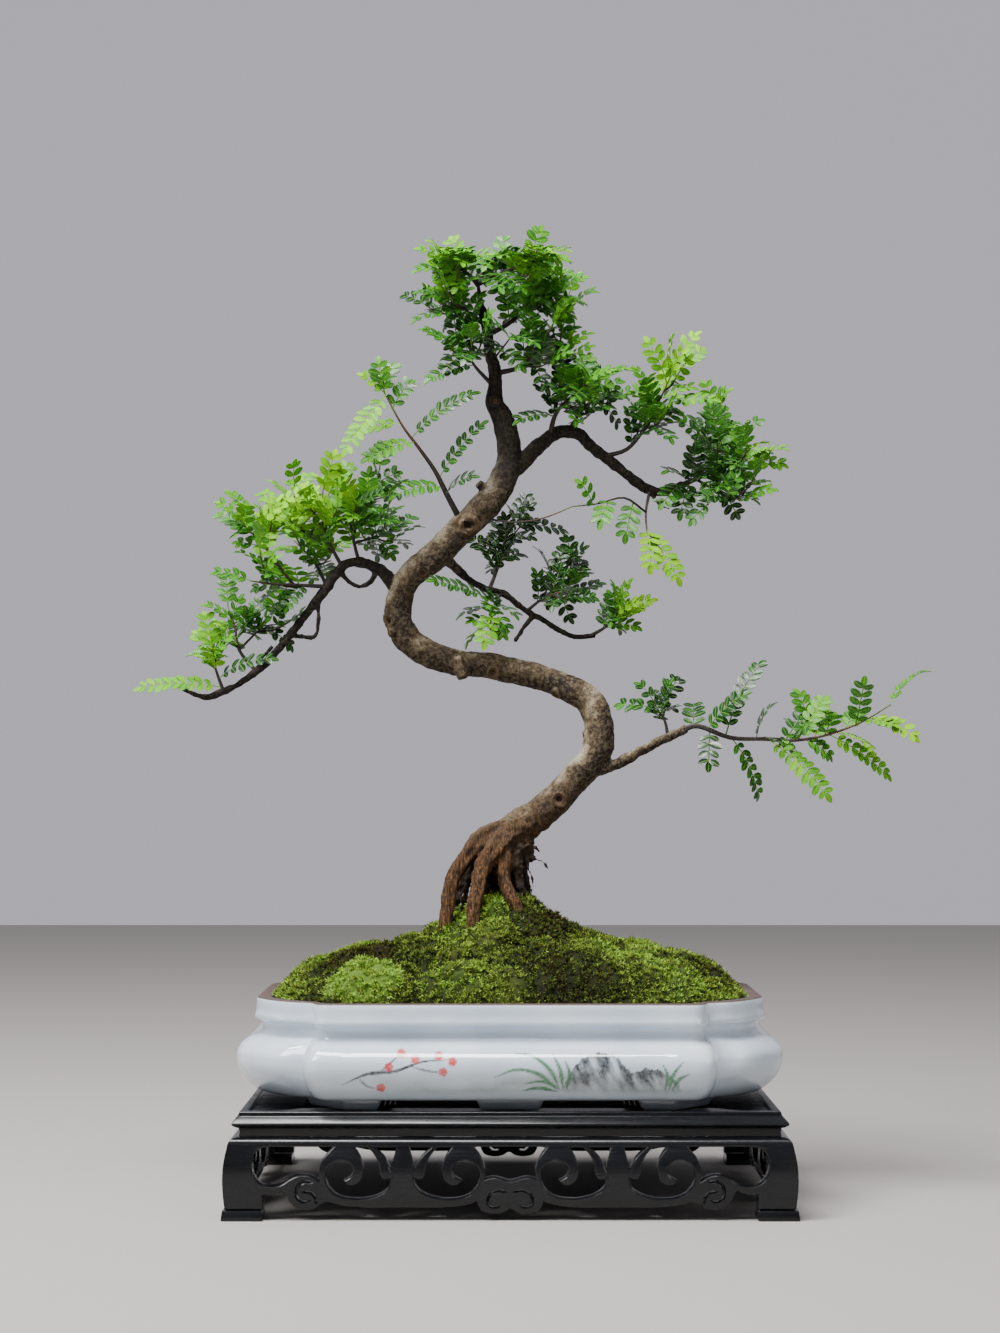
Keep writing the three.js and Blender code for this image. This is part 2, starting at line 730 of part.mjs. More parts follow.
// Sprays, from the left cascade over the top to the low right limb. A lone frond is drawn from
// its foot on a twig to its tip.
const SPRAYS = [
  {
    name: "cascade_tip",
    seed: 6,
    twigs: [twig([[-199, 344, -35], [-204, 358, -36], [-207, 372, -38]], 1.3, 4, 0.45, 0.4, 30)],
    lone: [
      [[-200, 346, -35], [-262, 344, -52]],
      [[-202, 352, -36], [-160, 366, -48]],
    ],
  },
  {
    name: "cascade_low",
    seed: 6,
    twigs: [
      twig([[-177, 358, -31], [-188, 372, -28], [-191, 388, -24], [-196, 402, -20]], 1.4, 4, 0.3, 1, 30),
      twig([[-188, 372, -28], [-176, 384, -22], [-166, 394, -12]], 1, 3, 0.4, 2, 28),
    ],
    lone: [],
  },
  {
    name: "cascade_outer",
    seed: 6,
    twigs: [
      twig(
        [
          [-128, 416, -20],
          [-146, 417, -30],
          [-166, 418, -40],
          [-180, 420, -46],
        ],
        1.6,
        4,
        0.25,
        0,
        30,
      ),
      twig([[-150, 417, -32], [-163, 434, -34], [-172, 446, -34], [-178, 458, -32]], 1.2, 3, 0.5, 2, 34),
    ],
    lone: [
      [[-172, 446, -34], [-206, 468, -24]],
      [[-176, 456, -32], [-140, 484, -40]],
    ],
  },
  {
    name: "cascade_back",
    seed: 15,
    twigs: [
      twig([[-127, 416, -18], [-134, 430, 6], [-142, 440, 30], [-150, 448, 52]], 1.4, 4, 0.25, 1, 32),
    ],
    lone: [],
  },
  {
    name: "left_crown",
    seed: 36,
    twigs: [
      twig([[-116, 429, -15], [-124, 444, -20], [-130, 462, -24], [-130, 484, -26]], 1.5, 5, 0.3, 0, 34),
      twig([[-122, 440, -18], [-140, 452, -6], [-154, 466, 4]], 1.1, 3, 0.4, 1.6, 32),
    ],
    lone: [[[-130, 470, -24], [-160, 474, -40]]],
  },
  {
    name: "left_inner",
    seed: 15,
    twigs: [
      twig(
        [
          [-104, 431, -12],
          [-108, 446, -16],
          [-110, 462, -20],
          [-100, 474, -26],
          [-86, 479, -34],
        ],
        1.4,
        5,
        0.25,
        1,
        32,
      ),
      twig([[-108, 446, -16], [-96, 450, 2], [-84, 452, 20]], 1, 3, 0.3, 0, 28),
    ],
    lone: [[[-110, 458, -19], [-76, 462, -36]]],
  },
  {
    name: "reddish_shoot",
    seed: 15,
    twigs: [
      twig(
        [
          [-34, 462, -5],
          [-44, 481, -12],
          [-52, 497, -16],
          [-64, 514, -20],
          [-75, 529, -24],
          [-88, 553, -28],
        ],
        2.3,
        0,
      ),
    ],
    lone: [
      [[-68, 520, -21], [-20, 553, -30]],
      [[-49, 492, -15], [-15, 533, -26]],
      [[-44, 481, -12], [-21, 494, -30]],
      [[-66, 517, -21], [-104, 503, -38]],
      [[-76, 530, -24], [-116, 519, -14]],
      [[-86, 550, -28], [-117, 507, -50]],
      [[-88, 552, -28], [-106, 566, -34]],
      [[-88, 552, -28], [-80, 574, -16]],
      [[-46, 485, -13], [-85, 477, -30]],
    ],
  },
  {
    name: "apex_top",
    seed: 14,
    twigs: [
      twig([[-19.4, 608, 0], [-21, 620, 0], [-22.5, 633, 0]], 3, 0),
      twig([[-22, 627, 0], [-30, 636, -6], [-42, 642, -12]], 1.3, 3, 0.4, 0, 28),
      twig([[-22, 630, 0], [-16, 640, 6], [-8, 645, 16]], 1.3, 3, 0.4, 1, 26),
      twig([[-22, 628, 0], [-4, 636, -6], [12, 643, -14], [20, 646, -20]], 1.3, 4, 0.35, 2, 27),
    ],
    lone: [[[-40, 641, -11], [-67, 654, -22]]],
  },
  {
    name: "apex_left",
    seed: 39,
    twigs: [
      twig([[-18, 600, 0], [-34, 612, -8], [-45, 624, -16]], 1.4, 3, 0.4, 0, 28),
      twig([[-30, 608, -5], [-38, 606, 8], [-44, 608, 20]], 1, 3, 0.4, 2, 28),
    ],
    lone: [],
  },
  {
    name: "apex_right",
    seed: 21,
    twigs: [
      twig([[-15, 592, 0], [2, 602, 6], [14, 616, 12], [22, 632, 16]], 1.5, 4, 0.3, 0, 31),
      twig([[4, 604, 7], [20, 612, 18], [32, 618, 30]], 1, 3, 0.4, 1.2, 30),
    ],
    lone: [],
  },
  {
    name: "apex_low",
    seed: 4,
    twigs: [
      twig([[-10, 565, 2], [8, 570, -6], [20, 584, -14], [29, 598, -20]], 1.5, 4, 0.3, 2, 29),
      twig([[8, 570, -6], [24, 574, 8], [38, 578, 20]], 1, 3, 0.4, 0, 30),
    ],
    lone: [],
  },
  {
    name: "apex_inner",
    seed: 29,
    twigs: [twig([[-11, 556, 3], [-24, 570, -8], [-29, 580, -16]], 1.2, 2, 0.6, 0, 28)],
    lone: [[[-25, 571, -9], [-60, 559, -26]]],
  },
  {
    name: "limb_top",
    seed: 27,
    twigs: [
      twig([[28, 520, 12], [32, 536, 4], [42, 548, -6], [56, 556, -14]], 1.5, 5, 0.3, 0, 32),
    ],
    lone: [[[32, 535, 4], [2, 530, -16]]],
  },
  {
    name: "limb_back",
    seed: 25,
    twigs: [twig([[40, 524, 14], [50, 538, 30], [60, 548, 46]], 1.3, 4, 0.35, 1, 33)],
    lone: [],
  },
  {
    name: "right_upper",
    seed: 17,
    twigs: [
      twig(
        [
          [66, 507, 18],
          [82, 512, 14],
          [94, 526, 8],
          [104, 545, 2],
          [114, 566, -4],
        ],
        1.8,
        6,
        0.3,
        0,
        33,
      ),
    ],
    lone: [
      [[113, 564, -4], [134, 596, -12]],
      [[110, 558, -2], [94, 592, -8]],
      [[101, 540, 4], [148, 546, -20]],
    ],
  },
  {
    name: "right_outer",
    seed: 37,
    twigs: [
      twig([[118, 486, 22], [132, 492, 14], [150, 500, 6], [168, 506, -2]], 1.7, 5, 0.2, 0, 32),
      twig([[132, 492, 14], [138, 506, 30], [146, 520, 44]], 1.2, 3, 0.4, 1, 30),
      twig([[130, 491, 16], [146, 482, 2], [162, 476, -10]], 1.2, 3, 0.3, 2, 30),
    ],
    lone: [[[166, 505, -2], [195, 500, -8]]],
  },
  {
    name: "right_hanging",
    seed: 3,
    twigs: [
      twig([[98, 484, 21], [95, 468, 12], [96, 452, 4]], 1.3, 0),
      twig([[95, 468, 12], [80, 478, 0], [62, 474, -10], [44, 472, -16]], 0.9, 0),
    ],
    lone: [
      [[96, 454, 5], [120, 416, -6]],
      [[96, 456, 6], [98, 424, -14]],
      [[70, 476, -6], [62, 456, -24]],
      [[86, 474, 5], [80, 446, -8]],
      [[58, 473, -12], [46, 492, -22]],
    ],
  },
  {
    name: "middle_inner",
    seed: 3,
    twigs: [
      twig([[-14, 414, 16], [-8, 430, 26], [-4, 446, 34], [2, 462, 40]], 1.5, 5, 0.25, 0, 30),
    ],
    lone: [[[1, 459, 39], [42, 454, 52]]],
  },
  {
    name: "middle_right",
    seed: 4,
    twigs: [
      twig([[12, 399, 24], [24, 408, 16], [40, 414, 6]], 1.3, 3, 0.3, 0, 30),
      twig([[24, 408, 16], [34, 414, 36], [46, 420, 54]], 1.1, 3, 0.3, 2, 30),
    ],
    lone: [],
  },
  {
    name: "middle_tip",
    seed: 37,
    twigs: [twig([[57, 382, 32], [67, 388, 30], [76, 396, 26]], 1.5, 3, 0.4, 1, 32)],
    lone: [[[74, 394, 27], [103, 408, 18]]],
  },
  {
    name: "middle_front",
    seed: 38,
    twigs: [twig([[-6, 411, 18], [-10, 404, 2], [-14, 396, -12]], 1.2, 3, 0.5, 0, 27)],
    lone: [
      [[-10, 405, 3], [-58, 421, -34]],
      [[-13, 397, -11], [-18, 372, -26]],
    ],
  },
  {
    name: "low_inner",
    seed: 38,
    twigs: [twig([[110, 311, -14], [108, 322, -12], [102, 332, -10]], 1.4, 3, 0.5, 1, 22)],
    lone: [[[103, 331, -10], [72, 334, -2]]],
  },
  {
    name: "low_outer",
    seed: 25,
    twigs: [
      twig(
        [
          [118, 315, -16],
          [131, 319, -19],
          [153, 311, -22],
          [176, 310, -26],
          [198, 309, -30],
          [221, 313, -34],
          [245, 322, -38],
          [266, 334, -42],
        ],
        2,
        7,
        0.4,
        0,
        34,
      ),
    ],
    lone: [
      [[137, 316, -20], [168, 344, -34]],
      [[150, 312, -22], [178, 366, -10]],
      [[139, 315, -20], [138, 287, -36]],
      [[154, 311, -22], [173, 266, -10]],
      [[180, 310, -27], [224, 266, -46]],
      [[200, 309, -30], [222, 341, -22]],
      [[222, 313, -34], [266, 281, -30]],
      [[251, 325, -39], [286, 308, -52]],
      [[128, 318, -18], [128, 336, 8]],
    ],
  },
];

function spraySolid(spray, tree) {
  const random = randomFrom(spray.seed);
  const pieces = [];
  for (const each of spray.twigs) {
    pieces.push(limb(each.route, 3, each.route.length - 1));
    pieces.push(...twigFronds(each, random));
  }
  for (const [from, to] of spray.lone) {
    const base = spot(from);
    const tip = spot(to);
    const facing = new THREE.Vector3(0.5 * (random() - 0.5), -0.8, 0.5);
    pieces.push(frond(base, tip, facing, 0.04 + 0.08 * random()));
  }
  return mainBody(join(pieces).subtract(tree));
}

// Materials
const surface = (color, roughness) => {
  return new THREE.MeshStandardMaterial({ color, roughness, metalness: 0 });
};
const lacquer = surface(0x17181c, 0.3);
const porcelain = surface(0xdde3ea, 0.12);
const earth = surface(0x3a2c1e, 0.95);
const mossGreen = surface(0x5e7f22, 0.95);
const bark = surface(0x7d6a50, 0.85);
const leaf = surface(0x4fa524, 0.4);

const bonsai = new THREE.Group();

function place(name, geometry, material, parent = bonsai) {
  const mesh = new THREE.Mesh(geometry, material);
  mesh.name = name;
  parent.add(mesh);
  return mesh;
}

["front", "right", "back", "left"].forEach((side, i) => {
  const long = i % 2 === 0;
  const halfLength = long ? STAND_HALF_X : STAND_HALF_Y;
  const halfDistance = long ? STAND_HALF_Y : STAND_HALF_X;
  const group = new THREE.Group();
  group.rotation.z = (i * Math.PI) / 2;
  bonsai.add(group);
  place("stand_rail_" + side, mitredBar(RAIL_PROFILE, halfLength, halfDistance), lacquer, group);
  place("stand_waist_" + side, mitredBar(WAIST_PROFILE, halfLength, halfDistance), lacquer, group);
  place("stand_board_" + side, boardGeometry(halfLength, halfDistance, long ? BUD_X : 0), lacquer, group);
});

const panelX = 2 * (STAND_HALF_X - RAIL_WIDTH - GAP);
const panelY = 2 * (STAND_HALF_Y - RAIL_WIDTH - GAP);
const panelThickness = 6;
const panel = place("stand_panel", new THREE.BoxGeometry(panelX, panelY, panelThickness), lacquer);
panel.position.z = PANEL_TOP - panelThickness / 2;

for (const [name, sx, sy] of [
  ["front_left", -1, -1],
  ["front_right", 1, -1],
  ["back_right", 1, 1],
  ["back_left", -1, 1],
]) {
  place("stand_foot_" + name, plinthGeometry(sx, sy), lacquer);
}

place("pot", geometryOf(potSolid()), porcelain);

const clearance = treeSolid(GAP);
place("soil", geometryOf(mainBody(soilSolid().subtract(clearance))), earth);
place("moss", geometryOf(mainBody(mossSolid().subtract(clearance))), mossGreen);
place("trunk", geometryOf(treeSolid(0)), bark);
for (const spray of SPRAYS) {
  place("spray_" + spray.name, geometryOf(spraySolid(spray, clearance)), leaf);
}

// The origin goes to the middle of the underside of the whole.
const whole = new THREE.Group();
bonsai.updateMatrixWorld(true);
const box = new THREE.Box3().setFromObject(bonsai);
const middle = box.getCenter(new THREE.Vector3());
bonsai.position.set(-middle.x, -middle.y, -box.min.z);
whole.add(bonsai);

export default whole;
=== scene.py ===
# %% [markdown]
# # A Chinese pepper bonsai
#
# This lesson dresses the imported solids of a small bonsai: a pepper tree with an S-shaped trunk
# and feathery leaves, in a lobed white porcelain pot covered with moss, on a carved black stand.
# The solids already have the right places and sizes. Each step replaces some of them with a finer
# piece in the same place. The order is: load the solids, prepare a helper for materials, set up
# camera and light, prepare the helpers for modelling, then make stand, pot, moss, tree and leaves,
# each with its finish.

# %% Load the solids
import math
from contextlib import contextmanager
from functools import partial
from random import Random

import bpy
from mathutils import Matrix, Vector, kdtree, noise


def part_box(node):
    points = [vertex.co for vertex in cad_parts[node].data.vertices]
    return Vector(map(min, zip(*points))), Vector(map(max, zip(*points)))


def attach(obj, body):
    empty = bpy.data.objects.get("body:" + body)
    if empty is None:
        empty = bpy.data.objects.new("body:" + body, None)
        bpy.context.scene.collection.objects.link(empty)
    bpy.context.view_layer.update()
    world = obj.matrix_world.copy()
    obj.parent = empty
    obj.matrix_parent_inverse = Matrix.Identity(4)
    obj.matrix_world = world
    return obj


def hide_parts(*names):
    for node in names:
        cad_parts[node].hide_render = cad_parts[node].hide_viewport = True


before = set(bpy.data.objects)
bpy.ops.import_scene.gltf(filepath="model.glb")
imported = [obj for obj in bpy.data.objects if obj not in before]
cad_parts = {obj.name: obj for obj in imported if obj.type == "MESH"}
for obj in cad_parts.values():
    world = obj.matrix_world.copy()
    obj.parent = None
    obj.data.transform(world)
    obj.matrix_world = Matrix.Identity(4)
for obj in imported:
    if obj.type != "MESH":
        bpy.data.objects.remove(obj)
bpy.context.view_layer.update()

# %% [markdown]
# ## Units and the middle of the stand
#
# A bonsai is measured in millimetres, so every piece is modelled in millimetres round the middle
# of the stand and brought to its place in metres when it is finished. The matrix that does this
# reads the stand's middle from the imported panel, so nothing has to be fitted by eye.

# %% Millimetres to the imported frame
MM = 0.001
panel_low, panel_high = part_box("stand_panel")
stand_middle = (panel_low + panel_high) / 2
TO_FRAME = Matrix.Translation((stand_middle.x, stand_middle.y, 0)) @ Matrix.Scale(MM, 4)
print("middle of the stand:", tuple(round(v, 4) for v in stand_middle))

# %% [markdown]
# ## Helper for materials
#
# One function adds a node. Each of its inputs is either a value or the socket that feeds it, and
# a ramp gets its stops as places and colours. What comes back is the node's first output, or the
# one that is named.

# %% Add a node
MIX_A, MIX_B = 6, 7  # the colour inputs of a Mix node, whose input 0 is the share of the second


def colour(code):
    """A hex colour as it looks on the screen, turned into the linear values of a shader."""
    channels = [int(code[i : i + 2], 16) / 255 for i in (1, 3, 5)]
    linear = [c / 12.92 if c <= 0.04045 else ((c + 0.055) / 1.055) ** 2.4 for c in channels]
    return (*linear, 1.0)


def add(material, kind, inputs=None, stops=(), output=None, **settings):
    """Adds one shader node with its settings, values and links, and returns an output."""
    tree = material.node_tree
    made = tree.nodes.new("ShaderNode" + kind)
    for name, value in settings.items():
        setattr(made, name, value)
    for name, value in (inputs or {}).items():
        if isinstance(value, bpy.types.NodeSocket):
            tree.links.new(value, made.inputs[name])
        else:
            made.inputs[name].default_value = value
    for i, (place, code) in enumerate(stops):
        if i >= len(made.color_ramp.elements):
            made.color_ramp.elements.new(place)
        made.color_ramp.elements[i].position = place
        made.color_ramp.elements[i].color = colour(code)
    in_use = [socket for socket in made.outputs if socket.enabled]
    return made.outputs[output] if output else in_use[0]


def socket_name(word):
    """The name of a shader's socket from a plain word."""
    return word.replace("_", " ").title().replace("Ior", "IOR")


def new_material(name, **values):
    """A material with a Principled shader, whose sockets are set by name."""
    material = bpy.data.materials.new(name)
    material.use_nodes = True
    shader = material.node_tree.nodes["Principled BSDF"]
    for socket, value in values.items():
        shader.inputs[socket_name(socket)].default_value = value
    return material, shader


def feed(material, shader, **sockets):
    """Links sockets into a shader by the names of its inputs."""
    for name, socket in sockets.items():
        material.node_tree.links.new(socket, shader.inputs[socket_name(name)])


# %% [markdown]
# ## Camera, floor and light
#
# The photograph was taken from about 1.9 m away, at the height of the low branch, with the camera
# tilted up by a little more than two degrees. A long lens from that distance gives the same
# perspective. Three soft area lights are enough: a long one above gives the porcelain its highlight
# along the belly. A lilac-grey backdrop far behind glows a little by itself, so that the tree
# stands out against it.

# %% Camera
VIEW_X = -6.6
VIEW_DISTANCE = 1910
VIEW_Z = 283
CAMERA_TILT = math.radians(90 + 2.32)
LENS = 74.27  # mm on a 36 mm sensor

camera_place = TO_FRAME @ Vector((VIEW_X, -VIEW_DISTANCE, VIEW_Z))
bpy.ops.object.camera_add(location=camera_place, rotation=(CAMERA_TILT, 0, 0))
camera = bpy.context.object
camera.name = "photo_camera"
camera.data.lens = LENS
bpy.context.scene.camera = camera
print("camera at", tuple(round(v, 3) for v in camera.location))

# %% Floor, backdrop and light
FLOOR_SIZE = 12
BACKDROP_SIZE = 9
BACKDROP_PLACE = (0, 3.4, 1)
BACKDROP_GLOW = 1.06


def area_light(name, place, target, size, watts):
    """A soft rectangular light that looks at a point."""
    bpy.ops.object.light_add(type="AREA", location=place)
    light = bpy.context.object
    light.name = name
    light.data.shape = "RECTANGLE"
    light.data.size, light.data.size_y = size
    light.data.energy = watts
    aim = Vector(target) - Vector(place)
    light.rotation_euler = aim.to_track_quat("-Z", "Y").to_euler()


area_light("top_light", (-0.45, -0.55, 2.0), (0, 0, 0.3), (1.5, 0.5), 88)
area_light("left_light", (-1.35, -1.05, 1.75), (0, 0, 0.35), (0.8, 1.0), 46)
area_light("right_light", (1.9, -1.1, 1.2), (0, 0, 0.3), (0.8, 0.9), 8)

bpy.ops.mesh.primitive_plane_add(size=FLOOR_SIZE)
floor = bpy.context.object
floor.name = "floor"
grey, _ = new_material("matt_grey_floor", base_color=colour("#A29E99"), roughness=0.8)
floor.data.materials.append(grey)

# The backdrop is only seen: it sends no light on the object from behind.
bpy.ops.mesh.primitive_plane_add(
    size=BACKDROP_SIZE, location=BACKDROP_PLACE, rotation=(math.pi / 2, 0, 0)
)
backdrop = bpy.context.object
backdrop.name = "backdrop"
glowing_grey, _ = new_material(
    "glowing_grey_backdrop",
    base_color=colour("#000000"),
    roughness=0.8,
    emission_color=colour("#B6B3BB"),
    emission_strength=BACKDROP_GLOW,
)
backdrop.data.materials.append(glowing_grey)
backdrop.visible_diffuse = False

# %% Soft light from above
# It is bright overhead and dim near the ground, so that the undersides are in shade.
world = bpy.context.scene.world or bpy.data.worlds.new("studio")
bpy.context.scene.world = world
world.use_nodes = True
background = world.node_tree.nodes["Background"]
background.inputs["Color"].default_value = colour("#CFCDD4")
upward = add(world, "TexCoord", output="Generated")
steepness = add(world, "SeparateXYZ", {"Vector": upward}, output="Z")
ambient = add(
    world, "MapRange",
    {"Value": steepness, "From Min": -0.1, "From Max": 0.8, "To Min": 0.06, "To Max": 0.64},
)
feed(world, background, strength=ambient)

# %% [markdown]
# ## Helpers for modelling
#
# Blender's operators work on what is selected, so one helper selects a piece alone, and another
# opens it in edit mode. `modify` applies a modifier at once. `rolled_grid` lays the rows of a grid
# on a chain of rings and welds the seam, which gives any swept or turned shape with faces that
# follow it. `mark` writes numbers on the points for a material to read. `finish` takes a piece to
# its place in metres and hides the solids that it stands for.


# %% Select, modify, finish
def only(*pieces):
    """Selects these pieces alone, the first one active."""
    bpy.ops.object.select_all(action="DESELECT")
    for piece in pieces:
        piece.select_set(True)
    bpy.context.view_layer.objects.active = pieces[0]


def pick_all():
    """Selects the whole mesh in edit mode."""
    bpy.ops.mesh.select_all(action="SELECT")


@contextmanager
def editing(piece):
    """Edit mode on one piece with all of its mesh selected."""
    only(piece)
    bpy.ops.object.mode_set(mode="EDIT")
    pick_all()
    yield
    bpy.ops.object.mode_set(mode="OBJECT")


def modify(piece, kind, **settings):
    """Adds a modifier with its settings and applies it."""
    modifier = piece.modifiers.new(kind.title(), kind)
    for name, value in settings.items():
        setattr(modifier, name, value)
    only(piece)
    bpy.ops.object.modifier_apply(modifier=modifier.name)


def weld(piece, fill=False):
    """Merges doubles, closes open ends if asked, and turns the faces outwards."""
    with editing(piece):
        bpy.ops.mesh.remove_doubles(threshold=0.001)
        if fill:
            bpy.ops.mesh.fill_holes(sides=0)
        pick_all()
        bpy.ops.mesh.normals_make_consistent(inside=False)


def rolled_grid(name, rings):
    """A grid whose rows lie on closed rings of points, with its seam welded."""
    around = len(rings[0])
    bpy.ops.mesh.primitive_grid_add(x_subdivisions=around, y_subdivisions=len(rings) - 1)
    piece = bpy.context.object
    piece.name = name
    points = [ring[i % around] for ring in rings for i in range(around + 1)]
    for vertex, point in zip(piece.data.vertices, points):
        vertex.co = point
    weld(piece, fill=True)
    return piece


def polygon(name, corners):
    """A filled circle whose corners are moved to the given points."""
    bpy.ops.mesh.primitive_circle_add(vertices=len(corners), fill_type="NGON")
    piece = bpy.context.object
    piece.name = name
    for vertex, corner in zip(piece.data.vertices, corners):
        vertex.co = corner
    return piece


def join(name, pieces):
    """One piece out of several."""
    only(*pieces)
    bpy.ops.object.join()
    joined = bpy.context.object
    joined.name = name
    return joined


def mark(piece, **channels):
    """Writes named numbers on the points of a piece as attributes."""
    for name, numbers in channels.items():
        piece.data.attributes.new(name, "FLOAT", "POINT").data.foreach_set("value", numbers)


def finish(piece, nodes, materials, smooth=35):
    """Smooths a piece, brings it to its place in metres and lets it stand for its solids."""
    only(piece)
    bpy.ops.object.shade_smooth_by_angle(angle=math.radians(smooth))
    piece.data.transform(TO_FRAME)
    if materials:
        piece.data.materials.clear()
    for material in materials:
        piece.data.materials.append(material)
    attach(piece, "root")
    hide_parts(*nodes)
    triangles = sum(len(face.vertices) - 2 for face in piece.data.polygons)
    print(f"{piece.name}: {triangles} triangles")


# %% [markdown]
# ## Smooth lines
#
# Two kinds of smooth line are used. Profiles and plans have points at uneven distances, so their
# tangents are weighted by those distances and the line hardly overshoots. Limbs and twigs follow
# the same even spline as the solids do, so that the fine twigs lie exactly where the solids are.


# %% Lines through points
def smooth_line(points, steps):
    """Points on a smooth line through uneven points, with one number of steps or one per span."""
    points = [Vector(p) for p in points]
    spans = [(b - a).length for a, b in zip(points, points[1:])]
    slopes = [(b - a) / span for a, b, span in zip(points, points[1:], spans)]
    tangents = [slopes[0]]
    for before, after, left, right in zip(slopes, slopes[1:], spans, spans[1:]):
        tangents.append((before * right + after * left) / (left + right))
    tangents.append(slopes[-1])
    counts = steps if isinstance(steps, list) else [steps] * len(spans)
    line = []
    for i, span in enumerate(spans):
        for step in range(counts[i]):
            t = step / counts[i]
            line.append(
                points[i] * (2 * t**3 - 3 * t**2 + 1)
                + tangents[i] * span * (t**3 - 2 * t**2 + t)
                + points[i + 1] * (3 * t**2 - 2 * t**3)
                + tangents[i + 1] * span * (t**3 - t**2)
            )
    return [*line, points[-1]]


def spot(x, z, y):
    """A point drawn on the tree's middle plane, moved to its depth along the line of sight."""
    reach = (VIEW_DISTANCE + y) / VIEW_DISTANCE
    return Vector((VIEW_X + (x - VIEW_X) * reach, y, VIEW_Z + (z - VIEW_Z) * reach))


def route_point(points, t):
    """The point at a share t of an even spline through points."""
    place = min(t, 1) * (len(points) - 1)
    i = min(int(place), len(points) - 2)
    s = place - i
    before = points[i - 1] if i > 0 else 2 * points[0] - points[1]
    after = points[i + 2] if i + 2 < len(points) else 2 * points[-1] - points[-2]
    start, end = (points[i + 1] - before) / 2, (after - points[i]) / 2
    return (
        points[i]
        + start * s
        + (3 * (points[i + 1] - points[i]) - 2 * start - end) * s**2
        + (2 * (points[i] - points[i + 1]) + start + end) * s**3
    )


def route_heading(points, t):
    """The direction of the spline at a share t."""
    nudge = 0.0001
    before, after = route_point(points, max(t - nudge, 0)), route_point(points, min(t + nudge, 1))
    return (after - before).normalized()


def search_tree(points):
    """A tree that finds the points near a place."""
    tree = kdtree.KDTree(len(points))
    for i, point in enumerate(points):
        tree.insert(point, i)
    tree.balance()
    return tree


# %% [markdown]
# ## Finish: black lacquered hardwood
#
# The stand is carved hardwood under black lacquer, rubbed to satin. Lacquer is a clear coat over a
# near-black ground, so the shader has a coat of its own. The wood's pores show through as fine
# streaks along the grain: a noise stretched along X, whose finer parts are about 0.4 mm wide. Real
# pores are finer, but those would not show from this distance.

# %% Lacquer
PORE_WIDTH = 0.4 * MM
lacquer, lacquer_shader = new_material(
    "black_lacquered_hardwood", ior=1.38, coat_weight=0.1, coat_roughness=0.1
)
place = add(lacquer, "TexCoord", output="Object")
along = add(lacquer, "Mapping", {"Vector": place, "Scale": (0.06, 1, 1)})
pores = add(lacquer, "TexNoise", {"Vector": along, "Scale": 1 / PORE_WIDTH / 4, "Detail": 3.0})
cloudy = add(lacquer, "TexNoise", {"Vector": place, "Scale": 28.0, "Detail": 2.0})
ground = add(
    lacquer, "ValToRGB", {"Fac": cloudy}, [(0.3, "#0B0C0F"), (0.62, "#121316"), (0.8, "#1A1713")]
)
sheen = add(
    lacquer, "MapRange",
    {"Value": pores, "From Min": 0.3, "From Max": 0.7, "To Min": 0.2, "To Max": 0.31},
)
relief = add(lacquer, "Bump", {"Height": pores, "Strength": 0.08, "Distance": 0.1 * MM})
feed(lacquer, lacquer_shader, base_color=ground, roughness=sheen, normal=relief)

# %% [markdown]
# ## Stand: the frame of rails
#
# A joiner shapes each rail with moulding planes and cuts its ends to a mitre. The same is done
# here: the profile is a polygon, it is extruded past both ends, and two bisecting planes at 45
# degrees cut the mitres. A small bevel rounds the edges so that they catch the light. Each bar is
# made as if it faced the front and is then turned to its side of the stand.

# %% Moulded bars with mitred ends
GAP = 0.3  # left between neighbouring pieces
STAND_HALF_X = 174.6
STAND_HALF_Y = 131.3
SIDES = [("front", 0), ("right", 1), ("back", 2), ("left", 3)]
SPARE = 30  # length beyond a mitre before it is cut


def mitre(piece, half_length, half_distance):
    """Cuts both ends of a piece that faces -Y at 45 degrees and closes the cuts."""
    with editing(piece):
        for end in (-1, 1):
            pick_all()
            bpy.ops.mesh.bisect(
                plane_co=(end * (half_length - GAP / 2), -half_distance, 0),
                plane_no=(end, 1, 0),
                use_fill=True,
                clear_outer=True,
            )
        pick_all()
        bpy.ops.mesh.normals_make_consistent(inside=False)


def moulding(name, profile, half_length, half_distance):
    """A mitred bar from a profile of (outward, z) points."""
    start = -half_length - SPARE
    piece = polygon(name, [(start, -half_distance - out, z) for out, z in profile])
    with editing(piece):
        bpy.ops.mesh.extrude_region_move(TRANSFORM_OT_translate={"value": (-2 * start, 0, 0)})
    mitre(piece, half_length, half_distance)
    return piece


def round_edges(piece, width):
    """A bevel of two steps on every sharp edge."""
    modify(piece, "BEVEL", width=width, segments=2, angle_limit=math.radians(32))


def side_lengths(turn):
    """Half length of a side and its half distance from the middle of the stand."""
    if turn % 2:
        return STAND_HALF_Y, STAND_HALF_X
    return STAND_HALF_X, STAND_HALF_Y


# %% Rails and waist
RAIL_PROFILE = [
    (-38, 58.3), (-38, 66.3), (-7, 66.3), (-6.2, 66.8), (-5.4, 68.2), (-4.4, 68.6), (-0.7, 68.6),
    (0, 67.9), (0, 65.7), (0.6, 65.1), (4.1, 61.9), (4.6, 60.9), (4.0, 59.9), (1.5, 58.3),
]
WAIST_PROFILE = [(-8, 52.6), (-8, 58), (0, 58), (-0.6, 55.3), (0, 52.6)]

for side, turn in SIDES:
    spin = Matrix.Rotation(turn * math.pi / 2, 4, "Z")
    for part, profile in (("rail", RAIL_PROFILE), ("waist", WAIST_PROFILE)):
        bar = moulding(f"{part}_{side}", profile, *side_lengths(turn))
        round_edges(bar, 0.25)
        bar.data.transform(spin)
        finish(bar, [f"stand_{part}_{side}"], [lacquer])

